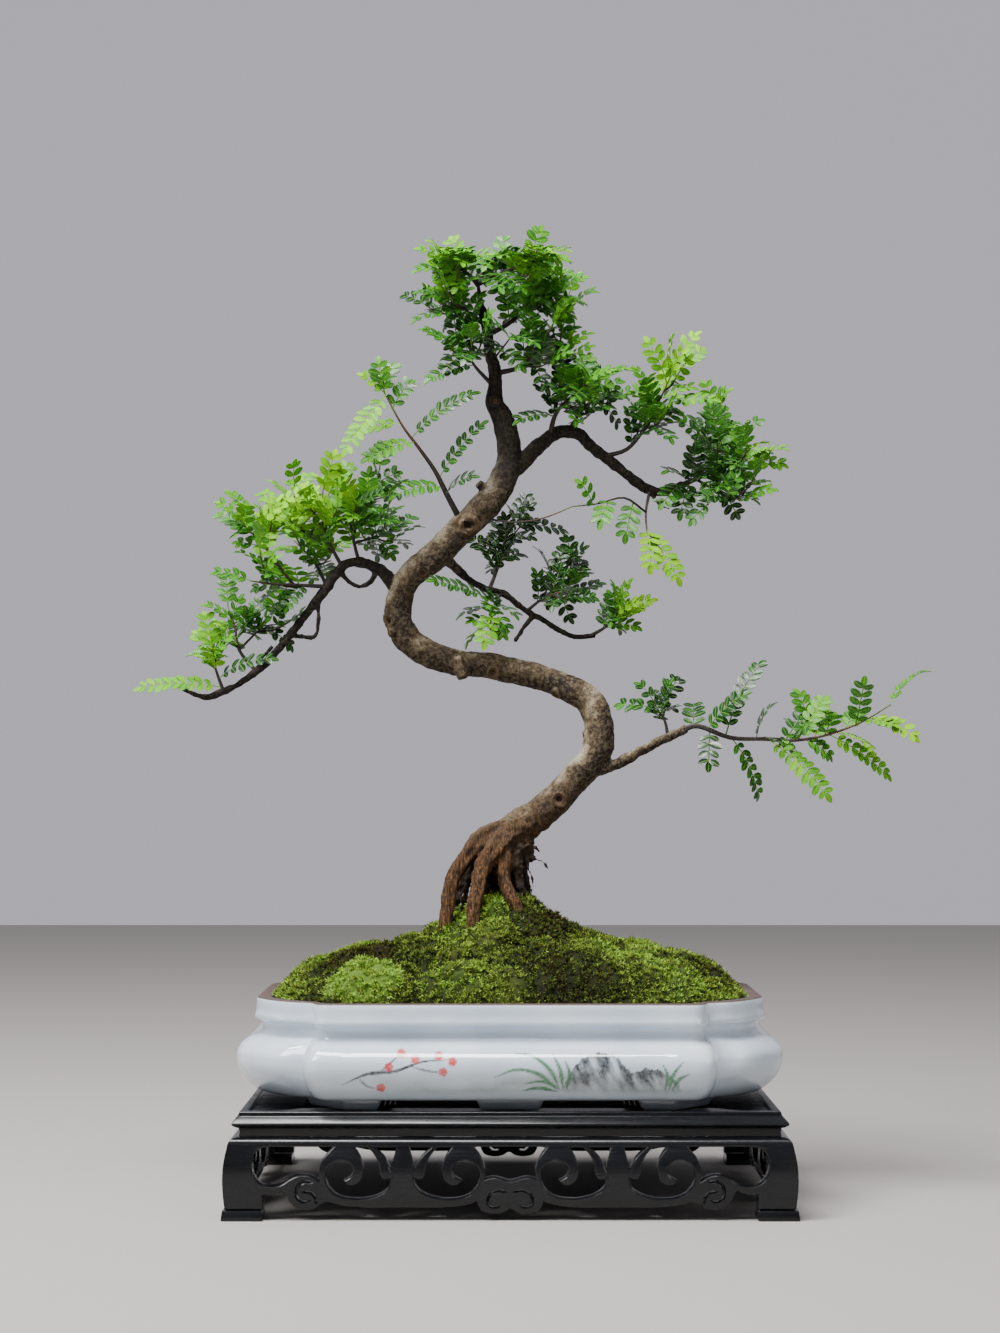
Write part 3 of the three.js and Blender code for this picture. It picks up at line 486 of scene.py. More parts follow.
# %% [markdown]
# ## Stand: the sunk panel
#
# The top is a thin board held in the rails' groove. It has a border of fine reeds, four ridges
# side by side, which show between the feet of the pot. The board is a cube with bevelled edges,
# and each reed is the outline of a plane, turned into a curve with a round section.

# %% Panel with reeds
PANEL_HALF_X = 136.3
PANEL_HALF_Y = 93
PANEL_TOP = 65.6
PANEL_THICKNESS = 5.6
REEDS = 4
REED_HALF_X = 87  # of the outer reed
REED_HALF_Y = 82
REED_STEP = 3.4
REED_RADIUS = 1.1
REED_SINK = 0.7  # from the top of the panel down to the axis of a reed


def reed(half_x, half_y):
    """A rectangular ridge on the panel."""
    bpy.ops.mesh.primitive_plane_add(size=2)
    outline = bpy.context.object
    outline.data.transform(Matrix.Diagonal((half_x, half_y, 1, 1)))
    outline.data.transform(Matrix.Translation((0, 0, PANEL_TOP - REED_SINK)))
    with editing(outline):
        bpy.ops.mesh.delete(type="ONLY_FACE")
    bpy.ops.object.convert(target="CURVE")
    outline.data.bevel_depth = REED_RADIUS
    outline.data.bevel_resolution = 2
    bpy.ops.object.convert(target="MESH")
    return outline


bpy.ops.mesh.primitive_cube_add(size=2)
panel = bpy.context.object
panel.data.transform(Matrix.Diagonal((PANEL_HALF_X, PANEL_HALF_Y, PANEL_THICKNESS / 2, 1)))
panel.data.transform(Matrix.Translation((0, 0, PANEL_TOP - PANEL_THICKNESS / 2)))
round_edges(panel, 0.4)
reeds = [reed(REED_HALF_X - REED_STEP * i, REED_HALF_Y - REED_STEP * i) for i in range(REEDS)]
panel = join("panel", [panel, *reeds])
finish(panel, ["stand_panel"], [lacquer])

# %% Plinths
LEG_INNER = 16.2  # from the mitred end of a board to the inner edge of its leg
FOOT_SPREAD = 185.3  # from the middle of the stand to the outer side of a plinth
FOOT_TOP = 6.6
FOOT_SLANT = 0.9  # by which a plinth is narrower at its top, on each side

for back, sy in (("front", -1), ("back", 1)):
    for right, sx in (("left", -1), ("right", 1)):
        inner = STAND_HALF_X - LEG_INNER
        half = (FOOT_SPREAD - inner) / 2
        middle_x = sx * (inner + half)
        middle_y = sy * (inner + half - STAND_HALF_X + STAND_HALF_Y)
        bpy.ops.mesh.primitive_cube_add(size=2)
        plinth = bpy.context.object
        plinth.name = f"plinth_{back}_{right}"
        plinth.data.transform(Matrix.Diagonal((half, half, FOOT_TOP / 2, 1)))
        for vertex in plinth.data.vertices:
            if vertex.co.z > 0:
                vertex.co.xy *= (half - FOOT_SLANT) / half
        plinth.data.transform(Matrix.Translation((middle_x, middle_y, FOOT_TOP / 2)))
        round_edges(plinth, 0.7)
        finish(plinth, [f"stand_foot_{back}_{right}"], [lacquer])

# %% [markdown]
# ## Stand: the carved boards
#
# Under the waist runs a pierced board whose ends are the legs. A carver saws the scrolls out with
# a fretsaw and then rounds their edges. A filled flat curve does just that: every closed spline
# inside the outline becomes a hole, and the curve's own bevel rounds all sawn edges. The flat
# board is cut into narrow strips by bisecting planes, so that it can be swollen outward like the
# real one. Points marked SHARP keep a corner and the others are passed smoothly.

# %% Outlines of the carving
SHARP = True
BUD_X = 68.9  # axis of a lotus bud on a long board
BOARD_TOP = 52.3
BOARD_FOOT = 6.9

# Leg points are measured from the mitred end, bud points from the bud's axis.
LEG_FOOT = [(LEG_INNER, BOARD_FOOT, SHARP), (LEG_INNER, 16.6, SHARP), (22.5, 16.6), (28, 18.6)]
BELLY = [
    (-76.4, 19.4, SHARP), (-74.2, 16.4), (-72, 11.6), (-67.5, 8), (-61.8, 6.7), (-56.5, 7.6),
    (-51.5, 11.2), (-47.5, 12.3, SHARP), (-42, 10.4), (-29.3, 8.6), (-14, 8.2), (0, 8.4),
]
TONGUE_LEG = [
    (19.6, 46.8), (13, 44.8), (9.6, 39.5), (9.2, 33), (11.6, 26.6), (16.5, 22.8), (22.5, 21.9),
]
TONGUE_BUD = [
    (-78, 23), (-70.5, 27.6), (-64, 29.3), (-58, 28.2), (-53.2, 25.4, SHARP), (-53.3, 32),
    (-51.4, 38.6), (-47.6, 43.4), (-44.2, 46.8, SHARP),
]
EYE = [
    (-37.8, 25.6, SHARP), (-33.2, 28.4), (-31.7, 32.4), (-33.6, 36.2), (-38.2, 38.2), (-44.1, 37.4),
    (-47.8, 34.4), (-49.3, 29.6), (-48.4, 24), (-45.6, 19.2), (-40.4, 15.6), (-30.8, 13.8),
    (-22, 14.5), (-14.6, 16.9), (-8.9, 21.4), (-7.2, 27.6, SHARP), (-12.4, 26.6), (-14.6, 30.4),
    (-15.4, 36.1), (-18.2, 41.8), (-22.4, 46.4, SHARP), (-31.4, 46.4, SHARP), (-28.4, 42.6),
    (-25.8, 36.6), (-25.2, 30.8), (-26.6, 26.2), (-30.6, 23), (-34.6, 23),
]
LEAF_GAP = [(-18.2, 46.4, SHARP), (-11.6, 40.2), (-7.6, 32.6, SHARP), (-6.2, 38.4), (-4.2, 46.4, SHARP)]
VOLUTE_SLIT = [
    (-58.2, 24.9), (-63, 25.3), (-66.8, 22.6), (-68, 18.6), (-66.8, 14.6), (-63.4, 12.4), (-59.8, 13),
]
VOLUTE_TAIL = [(-63.6, 18.6), (-58.8, 18.2), (-55.6, 15), (-55, 11.4)]
CLOUD = [(-20.4, 9.4, SHARP), (-18.2, 6.2), (-13.6, 4.6), (-8.6, 4.4), (-4, 5.4), (0, 7.6)]
CLOUD_GAP = [
    (-23.6, 46.8, SHARP), (-19.8, 42), (-17, 36), (-15.9, 31), (-16.9, 26.4, SHARP), (-11, 27.8),
    (-5, 26.6), (0, 25.4),
]
CLOUD_SLIT = [(-2.6, 18.6), (-7.4, 19.6), (-12.6, 17.4), (-14.4, 12.8), (-11.6, 9), (-7, 9.4)]


# %% Splines of the carving
def shifted(points, x):
    """Moves an outline along the board."""
    return [(px + x, *rest) for px, *rest in points]


def mirrored(points):
    """The same outline on the other side of its axis, run through backwards."""
    return [(-px, *rest) for px, *rest in reversed(points)]


def slit(points, width):
    """A narrow closed outline round a smooth line, pointed at both ends."""
    line = smooth_line([p[:2] for p in points], 3)
    left, right = [], []
    for before, here, after in zip(line, line[1:], line[2:]):
        side = (after - before).orthogonal().normalized() * (width / 2)
        left.append(tuple(here + side))
        right.append(tuple(here - side))
    ends = [(*line[0], SHARP), (*line[-1], SHARP)]
    return [ends[0], *left, ends[1], *reversed(right)]


def carving(half_length, bud_x):
    """All closed splines of a board: the outline first, then the holes."""
    leg = partial(shifted, x=-half_length)
    bud = partial(shifted, x=-bud_x)
    foot = [(-half_length - SPARE, BOARD_FOOT, SHARP), *leg(LEG_FOOT), *bud(BELLY)]
    holes = [
        leg(TONGUE_LEG) + bud(TONGUE_BUD) + [(leg(TONGUE_LEG)[0][0] + 5, 46.8)],
        bud(EYE),
        bud(LEAF_GAP),
        bud(slit(VOLUTE_SLIT, 1.5)),
        bud(slit(VOLUTE_TAIL, 1.3)),
    ]
    if bud_x:
        foot += bud(mirrored(BELLY)[1:5]) + CLOUD
        holes += [bud(mirrored(EYE)), bud(mirrored(LEAF_GAP)), slit(CLOUD_SLIT, 1.4)]
    holes += [mirrored(hole) for hole in holes]
    if bud_x:
        holes.append(CLOUD_GAP + mirrored(CLOUD_GAP)[1:])
    top = half_length + SPARE
    outline = foot + mirrored(foot)[1:] + [(top, BOARD_TOP, SHARP), (-top, BOARD_TOP, SHARP)]
    return [outline, *holes]


# %% Saw out and swell a board
BOARD_BACK = -2.5
BOARD_SWELL = [(6.9, 8.2), (14, 9), (22, 9.6), (30, 9.6), (38, 8.8), (44, 7.6), (48.8, 6.5)]
BOARD_SHOULDER = [(49.9, 6), (50.9, 5.2), (51.7, 4), (52.3, 2.2)]  # its rounded upper edge
EDGE_ROUND = 0.9
SHEET_HALF = 4  # half thickness of the flat board before it is swollen
STRIP = 2.4  # height of a strip between two bisecting planes
BOARD_LINE = [*smooth_line(BOARD_SWELL, 6), *BOARD_SHOULDER]


def swell(z):
    """How far the face of the board stands out at a height."""
    for (z0, out0), (z1, out1) in zip(BOARD_LINE, BOARD_LINE[1:]):
        if z <= z1:
            return out0 + (out1 - out0) * (z - z0) / (z1 - z0)
    return BOARD_LINE[-1][1]


def sawn_board(name, half_length, bud_x):
    """The flat pierced board in the XY plane, as a filled curve turned into a mesh."""
    flat = bpy.data.curves.new(name, "CURVE")
    flat.dimensions = "2D"
    flat.fill_mode = "BOTH"
    flat.extrude = SHEET_HALF - EDGE_ROUND
    flat.bevel_depth = EDGE_ROUND
    flat.bevel_resolution = 1
    flat.offset = -EDGE_ROUND
    flat.resolution_u = 4
    for outline in carving(half_length, bud_x):
        spline = flat.splines.new("BEZIER")
        spline.bezier_points.add(len(outline) - 1)
        spline.use_cyclic_u = True
        for point, (x, z, *sharp) in zip(spline.bezier_points, outline):
            point.co = (x, z, 0)
            kind = "VECTOR" if sharp else "AUTO"
            point.handle_left_type = point.handle_right_type = kind
    board = bpy.data.objects.new(name, flat)
    bpy.context.collection.objects.link(board)
    only(board)
    bpy.ops.object.convert(target="MESH")
    return bpy.context.object


def carved_board(name, half_length, half_distance, bud_x):
    """A pierced board that faces -Y, swollen and mitred."""
    board = sawn_board(name, half_length, bud_x)
    weld(board)
    strips = int((BOARD_SWELL[-1][0] - BOARD_FOOT) / STRIP)
    heights = [BOARD_FOOT + i * STRIP for i in range(1, strips + 1)]
    heights += [BOARD_SWELL[-1][0], *[z for z, _ in BOARD_SHOULDER[:-1]]]
    with editing(board):
        for z in heights:
            pick_all()
            bpy.ops.mesh.bisect(plane_co=(0, z, 0), plane_no=(0, 1, 0))
    for vertex in board.data.vertices:
        x, z, depth = vertex.co
        share = (depth + SHEET_HALF) / (2 * SHEET_HALF)
        out = BOARD_BACK + share * (swell(z) - BOARD_BACK)
        vertex.co = (x, -half_distance - out, z)
    mitre(board, half_length, half_distance)
    return board


for side, turn in SIDES:
    half_length, half_distance = side_lengths(turn)
    bud_x = 0 if turn % 2 else BUD_X
    board = carved_board(f"carved_board_{side}", half_length, half_distance, bud_x)
    board.data.transform(Matrix.Rotation(turn * math.pi / 2, 4, "Z"))
    finish(board, [f"stand_board_{side}"], [lacquer], 30)


# %% [markdown]
# ## Finish: glazed porcelain with underglaze painting
#
# The glaze is glass over a white body: very smooth, slightly bluish and a little cloudy. The top of
# the rim was wiped clean before firing and shows a brown body. The picture is painted under the
# glaze, so it has no relief: four attributes of the mesh say how much ink, wash, green and red a
# place has. Noise with a grain of about 2 mm breaks the brush marks up.

# %% Porcelain
RIM_TOP = 136.6
porcelain, porcelain_shader = new_material("glazed_porcelain", roughness=0.07, ior=1.5, coat_weight=0.4)
place = add(porcelain, "TexCoord", output="Object")
height = add(porcelain, "SeparateXYZ", {"Vector": place}, output="Z")
milky = add(porcelain, "TexNoise", {"Vector": place, "Scale": 22.0, "Detail": 3.0})
surface = add(
    porcelain, "ValToRGB", {"Fac": milky}, [(0.3, "#BCCAD7"), (0.55, "#C8D4E0"), (0.75, "#D6DEE7")]
)
brush = add(porcelain, "TexNoise", {"Vector": place, "Scale": 480.0, "Detail": 4.0, "Roughness": 0.7})
grain = add(
    porcelain, "MapRange",
    {"Value": brush, "From Min": 0.35, "From Max": 0.65, "To Min": 0.72, "To Max": 1.0},
)
PAINTS = {"wash": "#8F9C9A", "ink": "#22272A", "green": "#2E7440", "red": "#C8352C"}
for paint, code in PAINTS.items():
    amount = add(porcelain, "Attribute", output="Fac", attribute_name=paint)
    broken = add(porcelain, "Math", {0: amount, 1: grain}, operation="MULTIPLY")
    surface = add(porcelain, "Mix", {MIX_A: surface, MIX_B: colour(code), 0: broken}, data_type="RGBA")
bare = add(
    porcelain, "MapRange",
    {"Value": height, "From Min": (RIM_TOP - 1.1) * MM, "From Max": (RIM_TOP - 0.5) * MM},
)
clay = add(porcelain, "ValToRGB", {"Fac": brush}, [(0.35, "#332725"), (0.65, "#594740")])
surface = add(porcelain, "Mix", {MIX_A: surface, MIX_B: clay, 0: bare}, data_type="RGBA")
dull = add(porcelain, "MapRange", {"Value": bare, "To Min": 0.07, "To Max": 0.75})
glassy = add(porcelain, "MapRange", {"Value": bare, "To Min": 0.4, "To Max": 0.0})
ripple = add(porcelain, "Bump", {"Height": milky, "Strength": 0.05, "Distance": MM})
feed(porcelain, porcelain_shader, base_color=surface, roughness=dull, coat_weight=glassy, normal=ripple)

# %% [markdown]
# ## Pot: a lobed bowl
#
# A mould-pressed pot has the same plan at every height, only swollen more or less. So the plan is
# drawn once, as a quarter with a crease between the long front and the rounded end, and every
# point carries the direction in which a swelling moves it. The wall is a profile of swelling and
# height. Both are smoothed, and a grid is laid on the rings. The front has narrow columns and rows
# so that the painting is sharp there.

# %% Plan and wall
# x, y and the direction of the swelling, from the middle of the front to the crease.
RIM_FRONT = [
    (0, -123.5, 0, -1), (100, -123.5, 0, -1), (112, -123.5, 0, -1), (122.8, -121.5, 0.5, -0.9),
    (127.5, -115, 0.5, -0.7), (129, -107, 0.42, -0.5),
]
# From the crease to the middle of the right end.
RIM_END = [
    (129, -107, 0.42, -0.5), (146, -97, 0.6, -0.8), (161, -78, 0.85, -0.5), (170, -54.7, 1, -0.12),
    (170, -44, 1, 0), (170, 0, 1, 0),
]
# Swelling, height and the number of rows up to the next point.
POT_WALL = [
    (-6, 74.2, 1), (-2, 74.6, 1), (0, 75.6, 3), (4, 78.5, 6), (8.5, 83, 8), (12, 89.5, 9),
    (13.4, 97, 6), (12.6, 101.5, 5), (10.5, 105, 5), (7, 108.3, 4), (3, 110.5, 2), (-1, 111.8, 2),
    (-3.5, 113.5, 2), (-4.3, 116, 2), (-4, 119, 2), (-2.4, 121.2, 2), (0.8, 122.5, 2), (1.6, 124, 1),
    (0.9, 126, 2), (0.3, 130, 2), (0, 134.8, 2), (-0.6, 136.2, 1), (-1.6, 136.6, 1), (-7.9, 136.6, 1),
    (-9.2, 136, 1), (-9.6, 134, 2), (-10.5, 125, 2), (-11, 112, 2), (-3, 98, 2), (-12, 81, 1),
]
# Numbers of columns along the long side and round to the middle of the end.
FINE = ([110, 10, 8, 6, 6], [9, 9, 9, 5, 16])
COARSE = ([24, 5, 6, 5, 5], [6, 6, 6, 4, 12])


def quarter(front_steps, end_steps, sx, sy):
    """A quarter of the plan from the middle of a long side to the middle of an end."""
    line = smooth_line(RIM_FRONT, front_steps)[:-1] + smooth_line(RIM_END, end_steps)
    return [(sx * x, sy * y, sx * dx, sy * dy) for x, y, dx, dy in line]


def whole_plan(front, back):
    """The plan all round, with one set of columns for its front half and one for its back."""
    return (
        quarter(*front, 1, 1)[:-1]
        + quarter(*back, 1, -1)[:0:-1]
        + quarter(*back, -1, -1)[:-1]
        + quarter(*front, -1, 1)[:0:-1]
    )


PLAN = whole_plan(FINE, COARSE)


def plan_ring(out, z, plan=PLAN):
    """The plan at a swelling and a height."""
    return [Vector((x + dx * out, y + dy * out, z)) for x, y, dx, dy in plan]


wall = smooth_line([(out, z) for out, z, rows in POT_WALL], [rows for _, _, rows in POT_WALL[:-1]])
bowl = rolled_grid("bowl", [plan_ring(out, z) for out, z in wall])

# %% Drain holes
DRAIN_X = 75
DRAIN_RADIUS = 9
DRAIN_DEPTH = 30
DRAIN_Z = 78

drains = []
for x in (-DRAIN_X, DRAIN_X):
    bpy.ops.mesh.primitive_cylinder_add(
        vertices=32, radius=DRAIN_RADIUS, depth=DRAIN_DEPTH, location=(x, 0, DRAIN_Z)
    )
    drains.append(bpy.context.object)
    bpy.ops.object.transform_apply(location=True, rotation=False, scale=False)
drain = join("drains", drains)
modify(bowl, "BOOLEAN", object=drain, operation="DIFFERENCE", solver="MANIFOLD")
bpy.data.objects.remove(drain)

# %% [markdown]
# ## Pot: feet
#
# Six low feet stand under the bowl: a bracket at each corner and one in the middle of each long
# side. Each is a polygon just inside the bowl's floor, drawn down to the stand. It narrows
# downwards, and a bevel softens its edges under the glaze.

# %% Feet
POT_FOOT_Z = 66.6
POT_FOOT_TOP = 78
CORNER_TAPER = 0.84
MIDDLE_TAPER = 0.78
FOOT_ROUND = 2.8
CORNER_FOOT = [(-82, -111), (-82, -101), (-103, -100), (-129, -73), (-138, -80), (-108, -110)]
MIDDLE_FOOT = [(24.5, -110), (24.5, -101), (-24.5, -101), (-24.5, -110)]


def pot_foot(corners, taper, sx, sy):
    """A foot from its corners at the top, mirrored by signs."""
    middle = sum(x for x, y in corners) / len(corners)
    foot = polygon("foot", [(sx * x, sy * y, POT_FOOT_TOP) for x, y in corners])
    with editing(foot):
        drop = POT_FOOT_Z - POT_FOOT_TOP
        bpy.ops.mesh.extrude_region_move(TRANSFORM_OT_translate={"value": (0, 0, drop)})
    for vertex in foot.data.vertices:
        if vertex.co.z < POT_FOOT_TOP - 1:
            vertex.co.x = sx * middle + (vertex.co.x - sx * middle) * taper
    weld(foot)
    modify(foot, "BEVEL", width=FOOT_ROUND, segments=4, angle_limit=math.radians(20))
    return foot


feet = [pot_foot(CORNER_FOOT, CORNER_TAPER, sx, sy) for sx in (1, -1) for sy in (1, -1)]
feet += [pot_foot(MIDDLE_FOOT, MIDDLE_TAPER, 1, sy) for sy in (1, -1)]

# %% [markdown]
# ## Pot: the painting
#
# A painter's brush leaves a row of round touches whose size follows the pressure. Each stroke is
# therefore a smooth line of discs, and a search tree finds the discs that cover a point of the
# wall. The design is a common one: rocks in ink, orchid leaves in green beside them, and a twig of
# red plum blossom on the other half, over a thin grey wash.

# %% Brush strokes
PICTURE_LOW = 79
PICTURE_HIGH = 109
PICTURE_HALF = 122
PICTURE_Y = -100  # all of the front is beyond this
TOUCH = 0.5  # mm from one touch of the brush to the next
TOUCH_EDGE = 0.5  # mm over which a touch fades
TOUCH_REACH = 2.4  # more than the largest touch


def stroke(points, width):
    """Touches (x, z, radius) of a stroke through points, thickest at a third of its way."""
    length = sum(math.dist(a, b) for a, b in zip(points, points[1:]))
    steps = max(4, int(length / TOUCH / (len(points) - 1)))
    line = smooth_line(points, steps)
    touches = []
    for i, (x, z) in enumerate(line):
        t = i / (len(line) - 1)
        pressure = t / 0.33 if t < 0.33 else ((1 - t) / 0.67) ** 0.7
        touches.append((x, z, width / 2 * pressure + 0.15))
    return touches


LEAF_STROKES = [
    [(30, 82), (20, 92), (4, 96), (-10, 91)], [(32, 82), (26, 95), (15, 104), (2, 106)],
    [(34, 82), (32, 96), (27, 106)], [(33, 82), (22, 88), (10, 87)], [(36, 82), (38, 94), (35, 102)],
    [(31, 81), (18, 84), (8, 82)], [(104, 82), (109, 90), (115, 93)],
    [(102, 82), (105, 93), (111, 101)], [(100, 82), (101, 92), (98, 99)],
]
TWIG_STROKES = [
    ([(-108, 86), (-92, 93), (-74, 95), (-56, 101), (-40, 102)], 2.2),
    ([(-84, 94), (-76, 101), (-70, 106)], 1.1),
    ([(-64, 98), (-52, 95), (-44, 94)], 1.0),
    ([(-98, 91), (-92, 85), (-84, 83)], 1.0),
]
BLOSSOMS = [(-70, 106), (-61, 102.6), (-46, 104.5), (-43, 94.4), (-83, 84), (-78, 97.6), (-37, 101)]
PETAL_RADIUS = 1.5
PETAL_AWAY = 1.5  # from the middle of the blossom


def blossom(x, z):
    """Five round petals."""
    turns = [math.tau * k / 5 for k in range(5)]
    return [(x + PETAL_AWAY * math.cos(a), z + PETAL_AWAY * math.sin(a), PETAL_RADIUS) for a in turns]


touches = {
    "green": [touch for points in LEAF_STROKES for touch in stroke(points, 2.6)],
    "ink": [touch for points, width in TWIG_STROKES for touch in stroke(points, width)],
    "red": [touch for x, z in BLOSSOMS for touch in blossom(x, z)],
}


# %% Rocks and wash
def rock_line(x):
    """Height of the rocks' upper edge at a place along the front."""
    rough = 2.2 * noise.noise(Vector((x / 7, 3.1, 0))) + 1.2 * noise.noise(Vector((x / 2.4, 8.7, 0)))
    high = 26 * max(0, 1 - ((x - 58) / 24) ** 2) ** 0.55
    low = 16 * max(0, 1 - ((x - 88) / 22) ** 2) ** 0.6
    return 80 + max(high, low) + rough


def rock_ink(x, z):
    """Ink of the rocks: dark along the upper edge, and broken up by slanting crags."""
    depth = rock_line(x) - z
    if depth < 0 or not 33 < x < 111:
        return 0
    crag = noise.fractal(Vector((x / 5 + z / 11, z / 16, 4.2)), 1, 2, 4)
    edge = math.exp(-depth / 5)
    fade = min(1, max(0, (z - 79) / 9))
    return max(0, min(1, (0.5 + 0.75 * edge + 1.2 * crag) * fade))


def wash_amount(x, z):
    """Thin grey wash: a bank that fades upwards and, more slowly, downwards."""
    bank = 86 + 5 * math.sin(x / 23) + 3 * noise.noise(Vector((x / 12, 1.7, 0)))
    within = max(0, 1 - (abs(x - 18) / 108) ** 4)
    soft = max(0, 1 - abs(z - bank) / (7 if z > bank else 11))
    return 0.75 * within * soft * min(1, (z - 77) / 6)


def cover(tree, discs, x, z):
    """How far the touches of the brush cover a point."""
    best = 0
    for _, index, distance in tree.find_range((x, z, 0), TOUCH_REACH):
        best = max(best, min(1, (discs[index][2] - distance) / TOUCH_EDGE + 0.5))
    return best


# %% Paint the bowl
amounts = {name: [0.0] * len(bowl.data.vertices) for name in PAINTS}
trees = {name: search_tree([(x, z, 0) for x, z, _ in discs]) for name, discs in touches.items()}
for vertex in bowl.data.vertices:
    x, y, z = vertex.co
    if y < PICTURE_Y and abs(x) < PICTURE_HALF and PICTURE_LOW < z < PICTURE_HIGH:
        for name, discs in touches.items():
            amounts[name][vertex.index] = cover(trees[name], discs, x, z)
        amounts["ink"][vertex.index] = max(amounts["ink"][vertex.index], rock_ink(x, z))
        amounts["wash"][vertex.index] = wash_amount(x, z)
mark(bowl, **amounts)
pot = join("lobed_pot", [bowl, *feet])
finish(pot, ["pot"], [porcelain], 40)


# %% [markdown]
# ## Finish: moss and soil
#
# The moss is a patchwork of kinds: yellow-green, deep green and brown where it dries. The tone of
# a patch is an attribute of the mesh, and so is the painted shade in the crevices between cushions,
# on the mound between the tufts and at their feet. Fine noise of about 1 mm varies the single
# leaves. Soil is akadama clay: brown grains of about 4 mm.

# %% Moss material
moss_look, moss_shader = new_material("living_moss", roughness=0.9, specular_ior_level=0.2)
place = add(moss_look, "TexCoord", output="Object")
tone = add(moss_look, "Attribute", output="Fac", attribute_name="tone")
crevice = add(moss_look, "Attribute", output="Fac", attribute_name="crevice")
speck = add(moss_look, "TexNoise", {"Vector": place, "Scale": 900.0, "Detail": 2.0})
shade = add(moss_look, "Math", {0: speck, 1: 0.35}, operation="MULTIPLY")
varied = add(moss_look, "Math", {0: tone, 1: shade}, operation="ADD")
centred = add(moss_look, "Math", {0: varied, 1: -0.17}, operation="ADD")
greens = add(
    moss_look,
    "ValToRGB",
    {"Fac": centred},
    [
        (0.0, "#45371A"),
        (0.25, "#525018"),
        (0.5, "#55742A"),
        (0.75, "#A0AE40"),
        (1.0, "#A4D450"),
    ],
)
# painted shade: the moss darkens to a near-black green in its crevices, between the tufts and at their feet
shaded_greens = add(moss_look, "Mix", {MIX_A: greens, MIX_B: colour("#0E1202"), 0: crevice}, data_type="RGBA")
fluff = add(moss_look, "Bump", {"Height": speck, "Strength": 0.8, "Distance": MM})
feed(moss_look, moss_shader, base_color=shaded_greens, normal=fluff)

# %% Soil material
earth, earth_shader = new_material("akadama_soil", roughness=0.95)
place = add(earth, "TexCoord", output="Object")
grains = add(earth, "TexVoronoi", {"Vector": place, "Scale": 240.0})
browns = add(earth, "ValToRGB", {"Fac": grains}, [(0.1, "#4A3524"), (0.6, "#2E2118")])
lumps = add(earth, "Bump", {"Height": grains, "Strength": 0.7, "Distance": MM})
feed(earth, earth_shader, base_color=browns, normal=lumps)
soil = bpy.data.objects["soil"]
soil.data.materials.clear()
soil.data.materials.append(earth)

# %% [markdown]
# ## Many small copies
#
# Moss leaves and leaflets are modelled once and copied thousands of times. The copies go straight
# into one mesh: a heap collects points, faces and a few numbers per point, and turns them into a
# piece at the end.


# %% A heap of copies
class Heap:
    """Points, faces and named numbers per point, gathered into one piece."""

    def __init__(self, *channels):
        self.points = []
        self.faces = []
        self.channels = {name: [] for name in channels}

    def copy(self, shape, matrix, **values):
        """Adds a copy of a shape, with one value or a list of values per channel."""
        start = len(self.points)
        points, faces = shape
        self.points += [matrix @ point for point in points]
        self.faces += [[start + i for i in face] for face in faces]
        for name, value in values.items():
            self.channels[name] += value if isinstance(value, list) else [value] * len(points)

    def piece(self, name):
        """The heap as an object with its numbers as attributes."""
        mesh = bpy.data.meshes.new(name)
        mesh.from_pydata(self.points, [], self.faces)
        made = bpy.data.objects.new(name, mesh)
        bpy.context.collection.objects.link(made)
        mark(made, **self.channels)
        return made


def shape_of(piece):
    """Points and faces of a modelled piece, which is then removed."""
    points = [vertex.co.copy() for vertex in piece.data.vertices]
    faces = [list(face.vertices) for face in piece.data.polygons]
    bpy.data.objects.remove(piece)
    return points, faces


# %% [markdown]
# ## Moss: mound, cushions and leaves
#
# The mound falls from the crown of the roots to the rim. Cushions are cells of a Voronoi pattern:
# each swells in the middle and drops to the crevice round it. A dome of a paler moss lies at the
# front left. On top stand many thousand small tufts of leaves, which break up the outline as the
# real moss does. The mound between them is painted dark, as shade, and so are the crevices and
# the feet of the tufts.

# %% Mound
MOSS_EDGE = 136  # height of the moss where it leaves the wall
SOIL_EDGE = 126  # height of the soil at the wall
SOIL_INSET = -12.4  # swelling of the plan just inside the wall
MOUND_HALF_X, MOUND_HALF_Y = 157.6, 111.1  # of the oval that the rings turn into further in
MOUND_ROWS = 62
MOSS_COLUMNS = ([30, 3, 3, 3, 3], [7, 6, 8, 4, 10])
CUSHION = 27  # mm across
BUTTON = 8  # the smaller lumps on a cushion
DOME_X, DOME_Y, DOME_REACH = -96, -96, 27  # the cushion of another, paler moss
DOME_HEIGHT = 8
# the mound between the tufts is painted dark, as shade
GROUND_SHADE = 0.78  # least darkness of the mound between the tufts
DARKEST = 0.96


def mound_height(x, y, share):
    """Height of the moss before its cushions, with share 1 at the rim and 0 in the middle."""
    crown = 33 * math.exp(-((x + 4) ** 2 + y**2) / 45**2)
    return MOSS_EDGE + 1 + 27 * (1 - share**5) + 4 * (1 - share) + crown


def cells(x, y, size, seed):
    """Height of a cushion between 0 at its crevice and 1, and its own number."""
    near, centres = noise.voronoi(Vector((x / size, y / size, seed)), distance_metric="DISTANCE")
    gap = min(1, (near[1] - near[0]) / 0.45)
    own = noise.cell(centres[0] * 7.3)
    return gap * (2 - gap), own


def bright_dome(x, y):
    """Height of the pale cushion: 1 in its middle and 0 outside."""
    return max(0, 1 - (math.hypot(x - DOME_X, (y - DOME_Y) * 1.8) / DOME_REACH) ** 2) ** 0.5


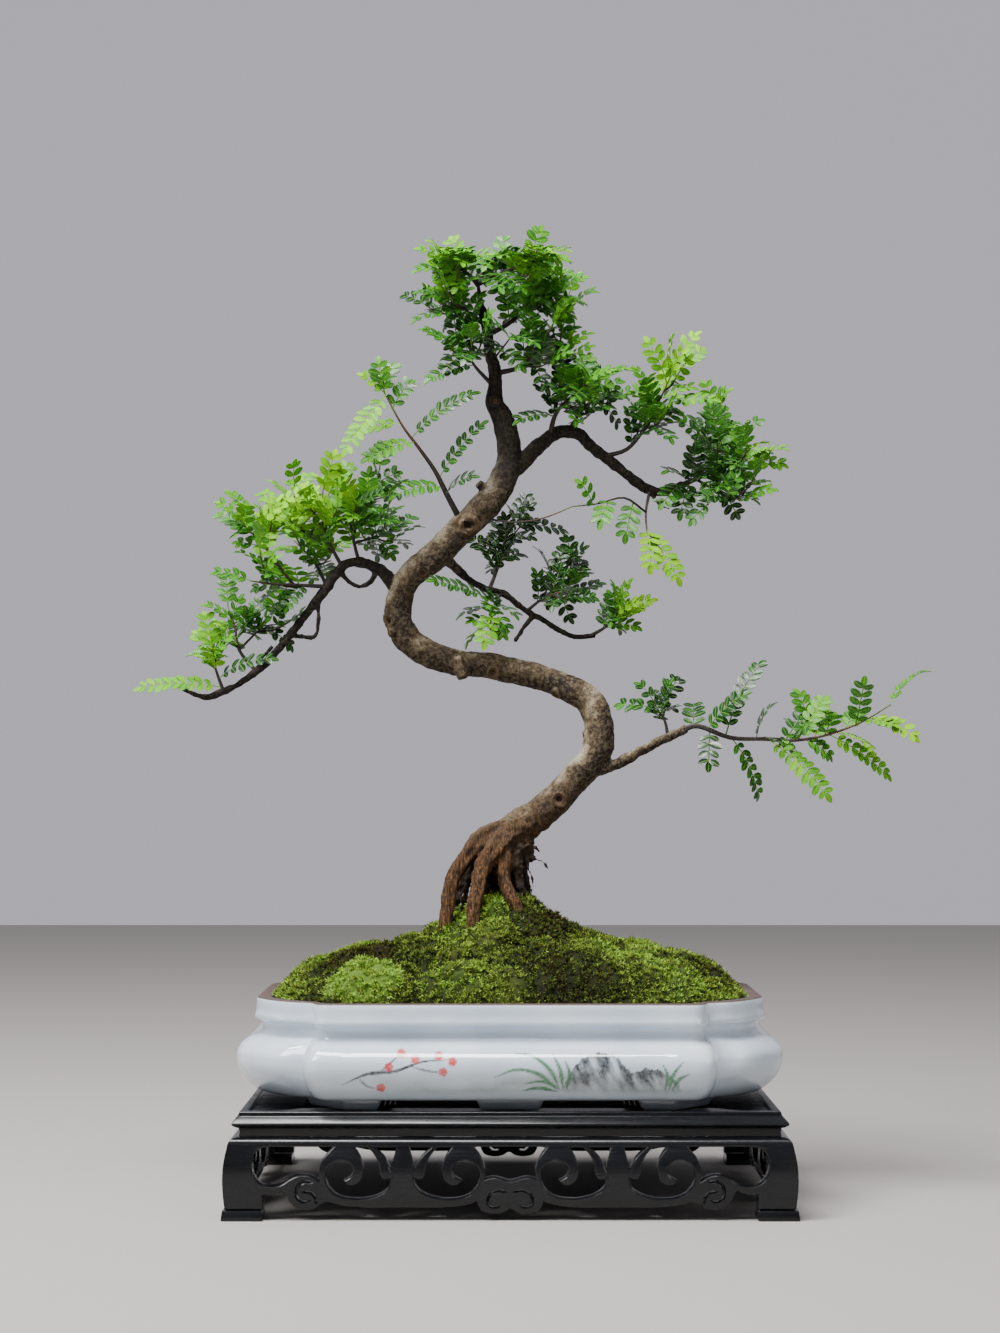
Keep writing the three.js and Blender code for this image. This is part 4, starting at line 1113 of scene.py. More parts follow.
def moss_kind(x, y):
    """Swelling of cushion and button, tone, and painted shade of the moss at a place."""
    swell, own = cells(x, y, CUSHION, 0.3)
    button, own_small = cells(x, y, BUTTON, 5.2)
    dry = noise.noise(Vector((x / 60, y / 60, 9.4)))
    tone = 0.47 + 1.1 * dry + 0.2 * own + 0.1 * own_small + 0.1 * button
    crevice = 0.7 + max(0, 0.75 - swell) * 0.45 + max(0, 0.6 - button) * 0.4
    if bright_dome(x, y) > 0:
        tone = 1.0
        crevice -= 0.5
    return swell, button, min(1, max(0.03, tone)), min(0.95, crevice)


def moss_point(x, y, share):
    """A point of the moss, with its cushions."""
    swell, button, *_ = moss_kind(x, y)
    inside = min(1, (1 - share) * 14)
    lift = inside * (7.5 * swell - 4.5) + (0.4 + inside) * 1.5 * button
    lift += DOME_HEIGHT * inside * bright_dome(x, y)
    return Vector((x, y, mound_height(x, y, share) + lift - 2 * (1 - inside)))


edge = plan_ring(SOIL_INSET, SOIL_EDGE + GAP, whole_plan(MOSS_COLUMNS, MOSS_COLUMNS))
rings = [edge]
for row in range(MOUND_ROWS):
    share = 1 - row / MOUND_ROWS
    ring = []
    for p in edge:
        size = math.hypot(p.x / MOUND_HALF_X, p.y / MOUND_HALF_Y)
        reach = share * (share + (1 - share) / size)
        ring.append(moss_point(p.x * reach, p.y * reach, share))
    rings.append(ring)
mound = rolled_grid("mound", rings)
kinds = [moss_kind(vertex.co.x, vertex.co.y) for vertex in mound.data.vertices]
tones = [kind[2] for kind in kinds]
# painted shade on the mound: darker in crevices, and never below a least amount
mound_shade = [min(DARKEST, max(GROUND_SHADE, kind[3] + 0.2)) for kind in kinds]
mark(mound, tone=tones, crevice=mound_shade)

# %% Tufts
TUFTS = 14500
LEAVES = 5  # moss leaves in a tuft
LEAN = 33  # degrees that a moss leaf leans out of its tuft
TIP_BRIGHTER = 0.7  # in tone, from the foot of a moss leaf to its tip

blades = []
for k in range(LEAVES):
    blade = polygon("blade", [(0, 0, 0), (0.11, 0.05, 0.5), (0, 0, 1), (-0.11, 0.05, 0.5)])
    blade.data.transform(Matrix.Rotation(math.radians(LEAN), 4, "X"))
    blade.data.transform(Matrix.Rotation(math.tau * k / LEAVES, 4, "Z"))
    blades.append(blade)
tuft = shape_of(join("tuft", blades))
rng = Random(11)
growth = Heap("tone", "crevice")
grown = [face for face in mound.data.polygons if face.normal.z > 0.1 and face.center.z > MOSS_EDGE - 1]
areas = [face.area for face in grown]
for face in rng.choices(grown, weights=areas, k=TUFTS):
    scatter = Vector((rng.gauss(0, 0.35), rng.gauss(0, 0.35), rng.gauss(0, 0.35)))
    heading = (face.normal + scatter).normalized()
    turn = heading.to_track_quat("Z", "Y").to_matrix().to_4x4()
    spin = Matrix.Rotation(rng.uniform(0, math.tau), 4, "Z")
    size = Matrix.Scale(rng.uniform(2.8, 4.7), 4)
    foot = face.center - 0.6 * heading + Vector((rng.gauss(0, 1), rng.gauss(0, 1), 0))
    place = Matrix.Translation(foot)
    _, _, kind, dark = moss_kind(foot.x, foot.y)
    kind += rng.gauss(-0.04, 0.17)
    dim = rng.uniform(-0.1, 0.3)
    tones = [min(1, max(0, kind + TIP_BRIGHTER * (point.z - 0.4))) for point in tuft[0]]
    # painted shade on a moss leaf: most at its foot, none at its tip, varied from tuft to tuft
    shades = [min(0.95, max(0, dark * (1 - 1.2 * point.z) + dim)) for point in tuft[0]]
    growth.copy(tuft, place @ turn @ spin @ size, tone=tones, crevice=shades)
moss = join("moss_carpet", [mound, growth.piece("tufts")])
finish(moss, ["moss"], [moss_look], 60)


# %% [markdown]
# ## Finish: bark
#
# The bark of this tree is thin and grey-tan, thickly dotted with dark pores and stained in
# patches. Towards the ground it turns reddish brown and breaks into long grooves. The upper,
# younger wood is darker. Height above the ground decides between the three, with noise in between.
# Four attributes of the mesh add what height can't tell: `thin` marks the dark thin limbs, `scar`
# the healed cuts, one the lower parts of the inner roots, darkened by the earth that clings to them
# and by painted shade between the roots, and one the painted light and shade, paler on the sides
# that face up to the left and darker on the others.

# %% Bark material
bark, bark_shader = new_material("speckled_pepper_bark", roughness=0.78, specular_ior_level=0.3)
place = add(bark, "TexCoord", output="Object")
height = add(bark, "SeparateXYZ", {"Vector": place}, output="Z")
stains = add(bark, "TexNoise", {"Vector": place, "Scale": 42.0, "Detail": 4.0, "Roughness": 0.62})
dots = add(bark, "TexVoronoi", {"Vector": place, "Scale": 620.0})
dot_mask = add(
    bark, "MapRange", {"Value": dots, "From Min": 0.14, "From Max": 0.34, "To Min": 1, "To Max": 0}
)
grit = add(bark, "TexNoise", {"Vector": place, "Scale": 380.0, "Detail": 4.0, "Roughness": 0.7})
# painted light and shade: paler where the bark faces up to the left, darker where it faces elsewhere
bleach = add(bark, "Attribute", output="Fac", attribute_name="bleach")
stains_and_painted_light = add(bark, "Math", {0: stains, 1: bleach}, operation="ADD")
smooth_bark = add(
    bark,
    "ValToRGB",
    {"Fac": stains_and_painted_light},
    [(0.36, "#120B05"), (0.47, "#2F2213"), (0.56, "#54452E"), (0.66, "#A3967D"), (0.78, "#C8BFAA")],
)
gritty = add(bark, "ValToRGB", {"Fac": grit}, [(0.44, "#120A04"), (0.61, "#807056")])
tan = add(bark, "Mix", {MIX_A: smooth_bark, MIX_B: gritty, 0: 0.42}, data_type="RGBA")
speckled = add(bark, "Mix", {MIX_A: tan, MIX_B: colour("#2A2018"), 0: dot_mask}, data_type="RGBA")
along = add(bark, "Mapping", {"Vector": place, "Scale": (1, 1, 0.1)})
fibres = add(bark, "TexNoise", {"Vector": along, "Scale": 1000.0, "Detail": 4.0, "Roughness": 0.6})
root_bark = add(
    bark, "ValToRGB",
    {"Fac": fibres}, [(0.36, "#170D06"), (0.48, "#3A240D"), (0.6, "#5E3F20"), (0.75, "#846038")],
)
wander = add(bark, "Math", {0: stains, 1: 0.08}, operation="MULTIPLY")
level = add(bark, "Math", {0: height, 1: wander}, operation="SUBTRACT")
low = add(
    bark, "MapRange", {"Value": level, "From Min": 0.19, "From Max": 0.25, "To Min": 1, "To Max": 0}
)
high = add(
    bark, "MapRange", {"Value": level, "From Min": 0.425, "From Max": 0.462, "To Min": 0, "To Max": 0.88}
)
lower = add(bark, "Mix", {MIX_A: speckled, MIX_B: root_bark, 0: low}, data_type="RGBA")
thin = add(bark, "Attribute", output="Fac", attribute_name="thin")
young = add(bark, "Math", {0: high, 1: thin}, operation="MAXIMUM")
gritty_dark = add(bark, "ValToRGB", {"Fac": grit}, [(0.44, "#090705"), (0.72, "#352B1F")])
upper = add(bark, "Mix", {MIX_A: lower, MIX_B: gritty_dark, 0: young}, data_type="RGBA")
scar = add(bark, "Attribute", output="Fac", attribute_name="scar")
collar = add(bark, "ValToRGB", {"Fac": scar}, [(0.3, "#7A6248"), (0.5, "#4A3120"), (0.8, "#140B06")])
healed = add(bark, "MapRange", {"Value": scar, "From Min": 0.1, "From Max": 0.5, "To Max": 0.85})
scarred = add(bark, "Mix", {MIX_A: upper, MIX_B: collar, 0: healed}, data_type="RGBA")
# the inner roots darken towards the ground, by earth and by painted shade between the roots
mud = add(bark, "Attribute", output="Fac", attribute_name="mud")
muddy = add(bark, "Mix", {MIX_A: scarred, MIX_B: gritty_dark, 0: mud}, data_type="RGBA")
relief = add(bark, "Math", {0: grit, 1: fibres}, operation="ADD")
rough = add(bark, "Bump", {"Height": relief, "Strength": 0.85, "Distance": 0.9 * MM})
feed(bark, bark_shader, base_color=muddy, normal=rough)

# %% [markdown]
# ## Tree: the routes of trunk, roots and limbs
#
# Each point is x and z on the tree's middle plane as the camera sees it, the depth y, and the
# radius there. The routes are those of the solids.

# %% Routes
TRUNK = [
    (-9, 222, 2, 9), (2.4, 244.2, 0, 13), (25.3, 261.5, -2, 11), (44, 281, -4, 10.4),
    (60.5, 300, -6, 10.4), (62.2, 317.7, -5, 10.2), (55.9, 335.8, 0, 10), (37.2, 347.2, 4, 9.2),
    (8.7, 356.3, 8, 9), (-12.9, 360.8, 10, 9.2), (-39.3, 363.6, 8, 9), (-62, 372, 4, 9.6),
    (-74.5, 385, 1, 9.8), (-77.4, 401.2, 0, 9.2), (-70.6, 421.4, -4, 9.2),
    (-50.5, 438.5, -6, 10), (-32.4, 457, -4, 9.8), (-15, 474.5, 0, 10.4), (-3.8, 491.9, 4, 9.4),
    (-0.3, 508, 6, 8.3), (-3.1, 529.1, 6, 8), (-10.4, 544.5, 4, 6.3), (-9.7, 562.7, 2, 4.6),
    (-13.6, 579.6, 0, 3.9), (-15.7, 595.7, 0, 3.6), (-19.9, 611.9, 0, 3.3),
]
ROOTS = [
    # left
    [
        (1, 248, 0, 9), (-17, 241, -5, 7.8), (-29, 229, -9, 7), (-38, 216, -13, 6.6),
        (-42, 202, -17, 6.4), (-44, 184, -20, 5.8), (-46, 166, -22, 4.6),
    ],
    # front left
    [
        (0, 244, -3, 9), (-9, 234, -10, 7.8), (-18, 222, -17, 7), (-22, 206, -25, 6.6),
        (-25, 190, -31, 6), (-24, 174, -36, 5.2), (-22, 158, -40, 4),
    ],
    # front right
    [
        (0, 240, -3, 8), (-3, 228, -9, 6.8), (-4, 216, -14, 6.2), (0, 203, -18, 5.8),
        (6, 190, -22, 5.4), (9, 168, -25, 4.2),
    ],
    # right
    [(6, 246, 2, 8), (8, 232, 5, 6.6), (8, 216, 9, 6), (11, 200, 13, 5.6), (17, 182, 17, 4.6)],
    # back
    [
        (-2, 240, 6, 8), (-10, 228, 12, 7), (-16, 212, 19, 6.4), (-20, 196, 25, 5.8),
        (-24, 174, 30, 4.4),
    ],
    # inner
    [
        (-4, 238, 0, 8), (-13, 230, 1, 7.4), (-18, 214, 1, 7), (-19, 198, 0, 6.6),
        (-20, 176, 0, 5),
    ],
]
LIMBS = [
    # the left cascade
    [
        (-76, 410, -1, 6), (-86, 424, -5, 4.6), (-97, 431, -10, 3.8), (-111, 433, -14, 3.6),
        (-121, 425, -17, 3.4), (-129, 413, -20, 3.7), (-139, 400, -22, 2.9), (-150, 386, -25, 3.2),
        (-160, 373, -28, 2.6), (-175, 358, -31, 2.9), (-190, 347, -34, 2.1),
        (-201, 342, -36, 2.7), (-211, 339, -38, 2.3), (-221, 342, -38, 1.6),
        (-230, 347, -38, 1.6),
    ],
    # the right limb
    [
        (-2, 497, 5, 8), (10, 504, 8, 6), (22, 516, 11, 5.2), (34, 524, 13, 4.8),
        (47, 523, 15, 4.4), (58, 513, 17, 4.2), (71, 503, 19, 4), (83, 493, 20, 3.8),
        (95, 485, 21, 3.6), (107, 482, 22, 3), (121, 488, 22, 2.2),
    ],
    # the middle limb, behind the trunk
    [
        (-45, 436, -2, 4.5), (-31, 423, 8, 2.6), (-18, 415, 14, 2.4), (-4, 411, 19, 2.4),
        (9, 401, 23, 2.3), (23, 393, 26, 2.2), (34, 386, 28, 2), (46, 381, 30, 1.9),
        (60, 382, 32, 1.6),
    ],
    # the low right limb
    [
        (52, 290, -4, 8), (72, 292, -8, 4.2), (90, 301, -11, 3.7), (107, 310, -14, 3.4),
        (123, 317, -17, 2.8),
    ],
]
# Bare twigs, too thin to be in the solids.
BARE_TWIGS = [
    [
        (-131, 412, -20, 2), (-133, 402, -21, 1.2), (-133, 392, -22, 1.3), (-136, 381, -22, 1.2),
        (-153, 382, -25, 1.3),
    ],
    [
        (-118, 427, -16, 2.4), (-111, 419, -15, 1.5), (-104, 416, -13, 1.5), (-97, 419, -11, 1.5),
        (-92, 427, -9, 2),
    ],
    [(-174, 358, -31, 2), (-172, 366, -36, 1.2), (-165, 374, -40, 1.1)],
    [(16, 395, 25, 2), (9, 386, 24, 1.2), (4, 378, 22, 1.4)],
    [(96, 485, 21, 2), (104, 474, 18, 1.2), (112, 470, 14, 1.1)],
]
# What is left of limbs that were pruned long ago.
STUBS = [
    [(-72, 386, 0, 5), (-84, 384, -6, 3.4)],
    [(-36, 364, 4, 6), (-32, 352, -2, 3.4)],
    [(-27, 463, -6, 6), (-29, 459, -17, 4.8)],
    [(40, 279, -4, 6), (37, 266, -6, 3.6)],
    [(-11, 480, 0, 6), (-22, 488, -4, 3)],
]

# %% [markdown]
# ## Tree: tubes
#
# A tube is a grid rolled round a route. The ring is carried along without twisting: the direction
# that counts as across is kept from ring to ring. Roots are fluted, that is their section has
# ridges that run down them.


# %% Tubes along routes
def radius_at(radii, t):
    """The radius at a share of a path."""
    place = t * (len(radii) - 1)
    i = min(int(place), len(radii) - 2)
    return radii[i] + (radii[i + 1] - radii[i]) * (place - i)


def tube_rings(path, radii, sides, steps, flutes=0):
    """Rings of points round a path, with a radius at each of its points."""
    across = Vector((0, 1, 0))
    rings = []
    for i in range(steps + 1):
        t = i / steps
        ahead = route_heading(path, t)
        across = (across - across.dot(ahead) * ahead).normalized()
        other = ahead.cross(across)
        centre = route_point(path, t)
        ring = []
        for k in range(sides):
            angle = math.tau * k / sides
            ridge = 1 + (0.13 * math.sin(flutes * angle + 3 * t) if flutes else 0)
            radius = radius_at(radii, t) * ridge
            ring.append(centre + radius * (math.cos(angle) * across + math.sin(angle) * other))
        rings.append(ring)
    return rings


def tube(name, route, sides, steps, flutes=0):
    """A closed tube along a route of (x, z, y, radius)."""
    path = [spot(x, z, y) for x, z, y, _ in route]
    radii = [radius for *_, radius in route]
    return rolled_grid(name, tube_rings(path, radii, sides, steps, flutes))


# %% [markdown]
# ## Tree: one grown piece
#
# Tubes that only touch would show seams where limbs leave the trunk. A voxel remesh melts them
# into one skin, as growth does, and a little smoothing heals the joints. Then the skin is pushed
# out and in: swellings of a finger's width, wrinkles, knots where limbs were pruned, and clods of
# earth on the inner roots.

# %% Grow the tree
VOXEL = 0.96
ROOT_SLIM = 0.78
KNOTS = [
    # x, z, y, radius, height
    (-28, 460, -17, 8.5, 2.4),
    (-12, 355, -1, 6, 1.6),
    (31, 339, -2, 5, 1.4),
    (35, 268, -14, 5, 1.4),
    (51, 311, -6, 5, 2.0),
    (-84, 392, -5, 5, 1.4),
    (-60, 425, -13, 5, 1.0),
    (62, 333, -8, 5, 1.0),
    (-10, 546, -2, 4, 0.8),
]
# Fine roots and the fibrous lump under the lean of the trunk.
FIBRES = [
    [(5, 250, 0, 9), (9, 240, -3, 7.4), (12, 231, -4, 5.4), (14, 225, -5, 3)],
    [(4, 244, -4, 6), (5, 232, -8, 4.5), (6, 220, -9, 3.8), (7, 208, -9, 3.2), (9, 190, -10, 2.8)],
    [(-6, 240, 6, 6), (-9, 226, 6, 5.4), (-9, 210, 6, 5.2), (-8, 188, 7, 5)],
    [(4, 240, 4, 7), (2, 226, 3, 6), (2, 210, 2, 5.6), (4, 188, 2, 5.4)],
    [(-20, 236, 2, 4), (-27, 219, 2, 2.6), (-30, 206, 0, 2.2), (-33, 182, -3, 2)],
    [(-12, 238, 9, 5), (-22, 226, 14, 3.4), (-31, 214, 17, 2.8), (-36, 198, 18, 2.4), (-40, 176, 18, 2)],
    [(12, 232, -4, 1.6), (18, 227, -8, 1.1), (23, 225, -10, 0.9), (27, 220, -12, 0.8)],
    [(11, 228, -6, 1.4), (13, 220, -8, 1.0), (16, 212, -9, 0.9), (15, 203, -8, 0.8)],
    [(8, 234, -10, 1.2), (15, 237, -12, 0.9), (21, 232, -12, 0.8)],
]


def slimmed(route):
    """A root as thin as it really is below its shoulder: the solid is a little thicker."""
    return [(*p, radius * (1 if i < 2 else ROOT_SLIM)) for i, (*p, radius) in enumerate(route)]


pieces = [tube("trunk", TRUNK, 24, 150)]
pieces += [tube(f"root_{i}", slimmed(route), 20, 44, 5) for i, route in enumerate(ROOTS)]
pieces += [tube(f"limb_{i}", route, 12, 8 * len(route)) for i, route in enumerate(LIMBS)]
pieces += [tube(f"twig_{i}", route, 10, 24) for i, route in enumerate(BARE_TWIGS)]
pieces += [tube(f"stub_{i}", route, 12, 6) for i, route in enumerate(STUBS)]
pieces += [tube(f"fibre_{i}", route, 10, 16, 3) for i, route in enumerate(FIBRES)]
tree = join("tree", pieces)
modify(tree, "REMESH", mode="VOXEL", voxel_size=VOXEL, use_smooth_shade=True)
modify(tree, "SMOOTH", factor=0.5, iterations=2)
print("tree:", len(tree.data.vertices), "points")


# %% Bark relief
def axis_points(routes):
    """The points of some routes with their radii."""
    return [(spot(x, z, y), radius) for route in routes for x, z, y, radius in route]


limb_axes = axis_points([route[2:] for route in (*LIMBS, *BARE_TWIGS)])
trunk_axes = axis_points([TRUNK, *ROOTS[:3]])
muddy_axes = axis_points([*ROOTS[3:], *FIBRES])
all_axes = limb_axes + trunk_axes + muddy_axes
axes = search_tree([point for point, _ in all_axes])
LOW_LIMB_TOP = 335  # the low limb has the bark of the trunk, the higher ones are dark
CLODS = 1.5  # height of the earth that clings to the inner roots
# below this height the inner roots are darkened, by earth and by painted shade
EARTH_AND_SHADE_TOP = 246
knots = [(spot(x, z, y), size, rise) for x, z, y, size, rise in KNOTS]


def knot_at(point):
    """Height of the ring round a pruning scar at a point, and depth of its hollow."""
    ring, hollow = 0, 0
    for centre, size, rise in knots:
        away = (point - centre).length / size + 0.3 * noise.noise(point / 5)
        if away < 1.6:
            ring = max(ring, rise * math.exp(-(((away - 0.9) / 0.2) ** 2)))
            hollow = max(hollow, rise * math.exp(-((away / 0.55) ** 6)))
    return ring, hollow


def relief_at(point, thick):
    """How far the bark stands out at a point of a limb of some thickness."""
    swelling = 0.9 * noise.noise(point / 17)
    lumps = 0.8 * noise.noise(point / 6 + Vector((7, 0, 0)))
    wrinkles = 0.28 * noise.fractal(point / 2.4, 1, 2, 3)
    if thick < 4.5:
        lumps += 0.9 * noise.noise(point / 4.2)
    root = max(0, min(1, (250 - point.z) / 25))
    groove = 0.9 * root * noise.noise(Vector((point.x / 2.6, point.y / 2.6, point.z / 22)))
    return (swelling + lumps) * min(1, 0.4 + thick / 12) + wrinkles + groove


def bleach_at(normal):
    """Painted light and shade on the bark's tone: sides that face up to the left are paler, the others
    darker.
    """
    return 0.34 * max(-0.3, min(0.5, 0.55 * normal.z - 0.4 * normal.x)) - 0.035


skin, thinness, scars, earth_and_shade_amounts, bleached = [], [], [], [], []
for vertex in tree.data.vertices:
    _, index, _ = axes.find(vertex.co)
    thick = all_axes[index][1]
    dark_limb = index < len(limb_axes) and vertex.co.z > LOW_LIMB_TOP
    earthy_and_shaded = index >= len(limb_axes) + len(trunk_axes)
    ring, hollow = knot_at(vertex.co)
    lift = relief_at(vertex.co, thick) + ring - 1.3 * hollow
    if earthy_and_shaded:
        lift += CLODS * noise.fractal(vertex.co / 3.5, 1, 2, 2)
    skin.append(vertex.co + vertex.normal * lift)
    thinness.append(max(0, min(0.95, (7 - thick) / 2.2)) if dark_limb else 0.0)
    scars.append(min(1, 0.55 * hollow + 0.2 * ring))
    # darker towards the ground on the inner roots: earth, and painted shade between the roots
    earth_and_shade_amounts.append(max(0, min(0.8, (EARTH_AND_SHADE_TOP - vertex.co.z) / 16)) if earthy_and_shaded else 0.0)
    # painted light and shade from the direction that the bark faces
    bleached.append(bleach_at(vertex.normal))
tree.data.vertices.foreach_set("co", [number for point in skin for number in point])
mark(tree, thin=thinness, scar=scars, mud=earth_and_shade_amounts, bleach=bleached)
finish(tree, ["trunk"], [bark], 70)

# %% [markdown]
# ## Finish: leaves and twigs
#
# The leaflets are leathery and glossy. Young ones at the tips are yellow-green and thin enough to
# glow, old ones inside are dark bluish green. The attribute `age` runs from old (0) to young (1),
# and it also carries painted light and shade: it is raised on the lit tops of the crown and lowered
# inside it and at its back. `across` is the distance from the midrib, which is paler. Light passes
# through the blade, so a part of the surface scatters it.

# %% Leaf material
leaf, leaf_shader = new_material("pepper_leaf", ior=1.42, coat_roughness=0.15, subsurface_weight=0.07)
leaf_shader.inputs["Subsurface Radius"].default_value = (0.35, 1.0, 0.12)
leaf_shader.inputs["Subsurface Scale"].default_value = 1.2 * MM
place = add(leaf, "TexCoord", output="Object")
age = add(leaf, "Attribute", output="Fac", attribute_name="age")
across = add(leaf, "Attribute", output="Fac", attribute_name="across")
mottle = add(leaf, "TexNoise", {"Vector": place, "Scale": 260.0, "Detail": 2.0})
shift = add(leaf, "Math", {0: mottle, 1: 0.16}, operation="MULTIPLY")
aged = add(leaf, "Math", {0: age, 1: shift}, operation="ADD")
# colour by age, which also carries painted light on the lit tops and painted shade inside the crown
green = add(
    leaf,
    "ValToRGB",
    {"Fac": aged},
    [(0.08, "#04180A"), (0.36, "#12400D"), (0.6, "#34780C"), (0.85, "#5A9A08"), (1.0, "#7CB40C")],
)
rib = add(
    leaf, "MapRange",
    {"Value": across, "From Min": 0.03, "From Max": 0.14, "To Min": 0.35, "To Max": 0.0},
)
ribbed = add(leaf, "Mix", {MIX_A: green, MIX_B: colour("#9CC45A"), 0: rib}, data_type="RGBA")
shine = add(leaf, "MapRange", {"Value": age, "To Min": 0.26, "To Max": 0.6})
wax = add(leaf, "MapRange", {"Value": age, "From Max": 0.7, "To Min": 0.25, "To Max": 0.0})
gleam = add(leaf, "MapRange", {"Value": age, "To Min": 0.5, "To Max": 0.15})
quilt = add(leaf, "Bump", {"Height": mottle, "Strength": 0.3, "Distance": 0.5 * MM})
feed(
    leaf,
    leaf_shader,
    base_color=ribbed,
    roughness=shine,
    specular_ior_level=gleam,
    coat_weight=wax,
    normal=quilt,
)

# %% Twig material
twig_bark, twig_shader = new_material("young_twig_bark", roughness=0.6)
place = add(twig_bark, "TexCoord", output="Object")
twig_age = add(twig_bark, "Attribute", output="Fac", attribute_name="age")
knobbly = add(twig_bark, "TexNoise", {"Vector": place, "Scale": 700.0, "Detail": 3.0})
twig_colour = add(
    twig_bark, "ValToRGB",
    {"Fac": twig_age}, [(0.0, "#1C1510"), (0.5, "#38271B"), (0.8, "#6A4428"), (1.0, "#6E8A34")],
)
flecks = add(
    twig_bark, "Mix", {MIX_A: twig_colour, MIX_B: colour("#1E1712"), 0: knobbly}, data_type="RGBA"
)
bumps = add(twig_bark, "Bump", {"Height": knobbly, "Strength": 0.6, "Distance": 0.4 * MM})
feed(twig_bark, twig_shader, base_color=flecks, normal=bumps)

# %% [markdown]
# ## Leaves: one leaflet
#
# A leaflet is an oval blade about 8 mm long, folded along its midrib and bent down at the tip. It
# is a grid of two by four faces, moved to the oval and given thickness.

# %% Leaflet
# Share of the length, and half width there.
LEAFLET_OUTLINE = [(0, 0.02), (0.2, 0.2), (0.5, 0.29), (0.8, 0.24), (1, 0.08)]
LEAFLET_WIDTH = 0.58  # of its length
LEAFLET_THICKNESS = 0.035

bpy.ops.mesh.primitive_grid_add(x_subdivisions=2, y_subdivisions=len(LEAFLET_OUTLINE) - 1)
leaflet = bpy.context.object
for i, vertex in enumerate(leaflet.data.vertices):
    row, column = divmod(i, 3)
    t, half = LEAFLET_OUTLINE[row]
    side = column - 1
    vertex.co = (t, side * half, 0.16 * half * abs(side) - 0.16 * t * t)
modify(leaflet, "SOLIDIFY", thickness=LEAFLET_THICKNESS, offset=0)
leaflet_across = [abs(vertex.co.y) / (LEAFLET_WIDTH / 2) for vertex in leaflet.data.vertices]
LEAFLET = shape_of(leaflet)
print("leaflet:", len(LEAFLET[1]), "faces")

# %% [markdown]
# ## Leaves: fronds and sprays
#
# A frond has a rachis with leaflets in pairs and one at its end. The pair in the middle is the
# largest. The rachis is an arch between foot and tip. Twigs carry fronds in a spiral by the golden
# angle, first those of the solids and then smaller ones between them. A spray is one piece.

# %% Routes of the sprays
GOLDEN_ANGLE = 2.39996


def twig(radius, fronds, start, turn, size, *route):
    """Radius at the foot, number of fronds, share where they begin, first turn, length, route."""
    return route, radius, fronds, start, turn, size


def spray(name, seed, fill, twigs, lone=()):
    """Name, seed, side twigs on each twig that has fronds, twigs, lone fronds from foot to tip."""
    return name, seed, fill, twigs, lone


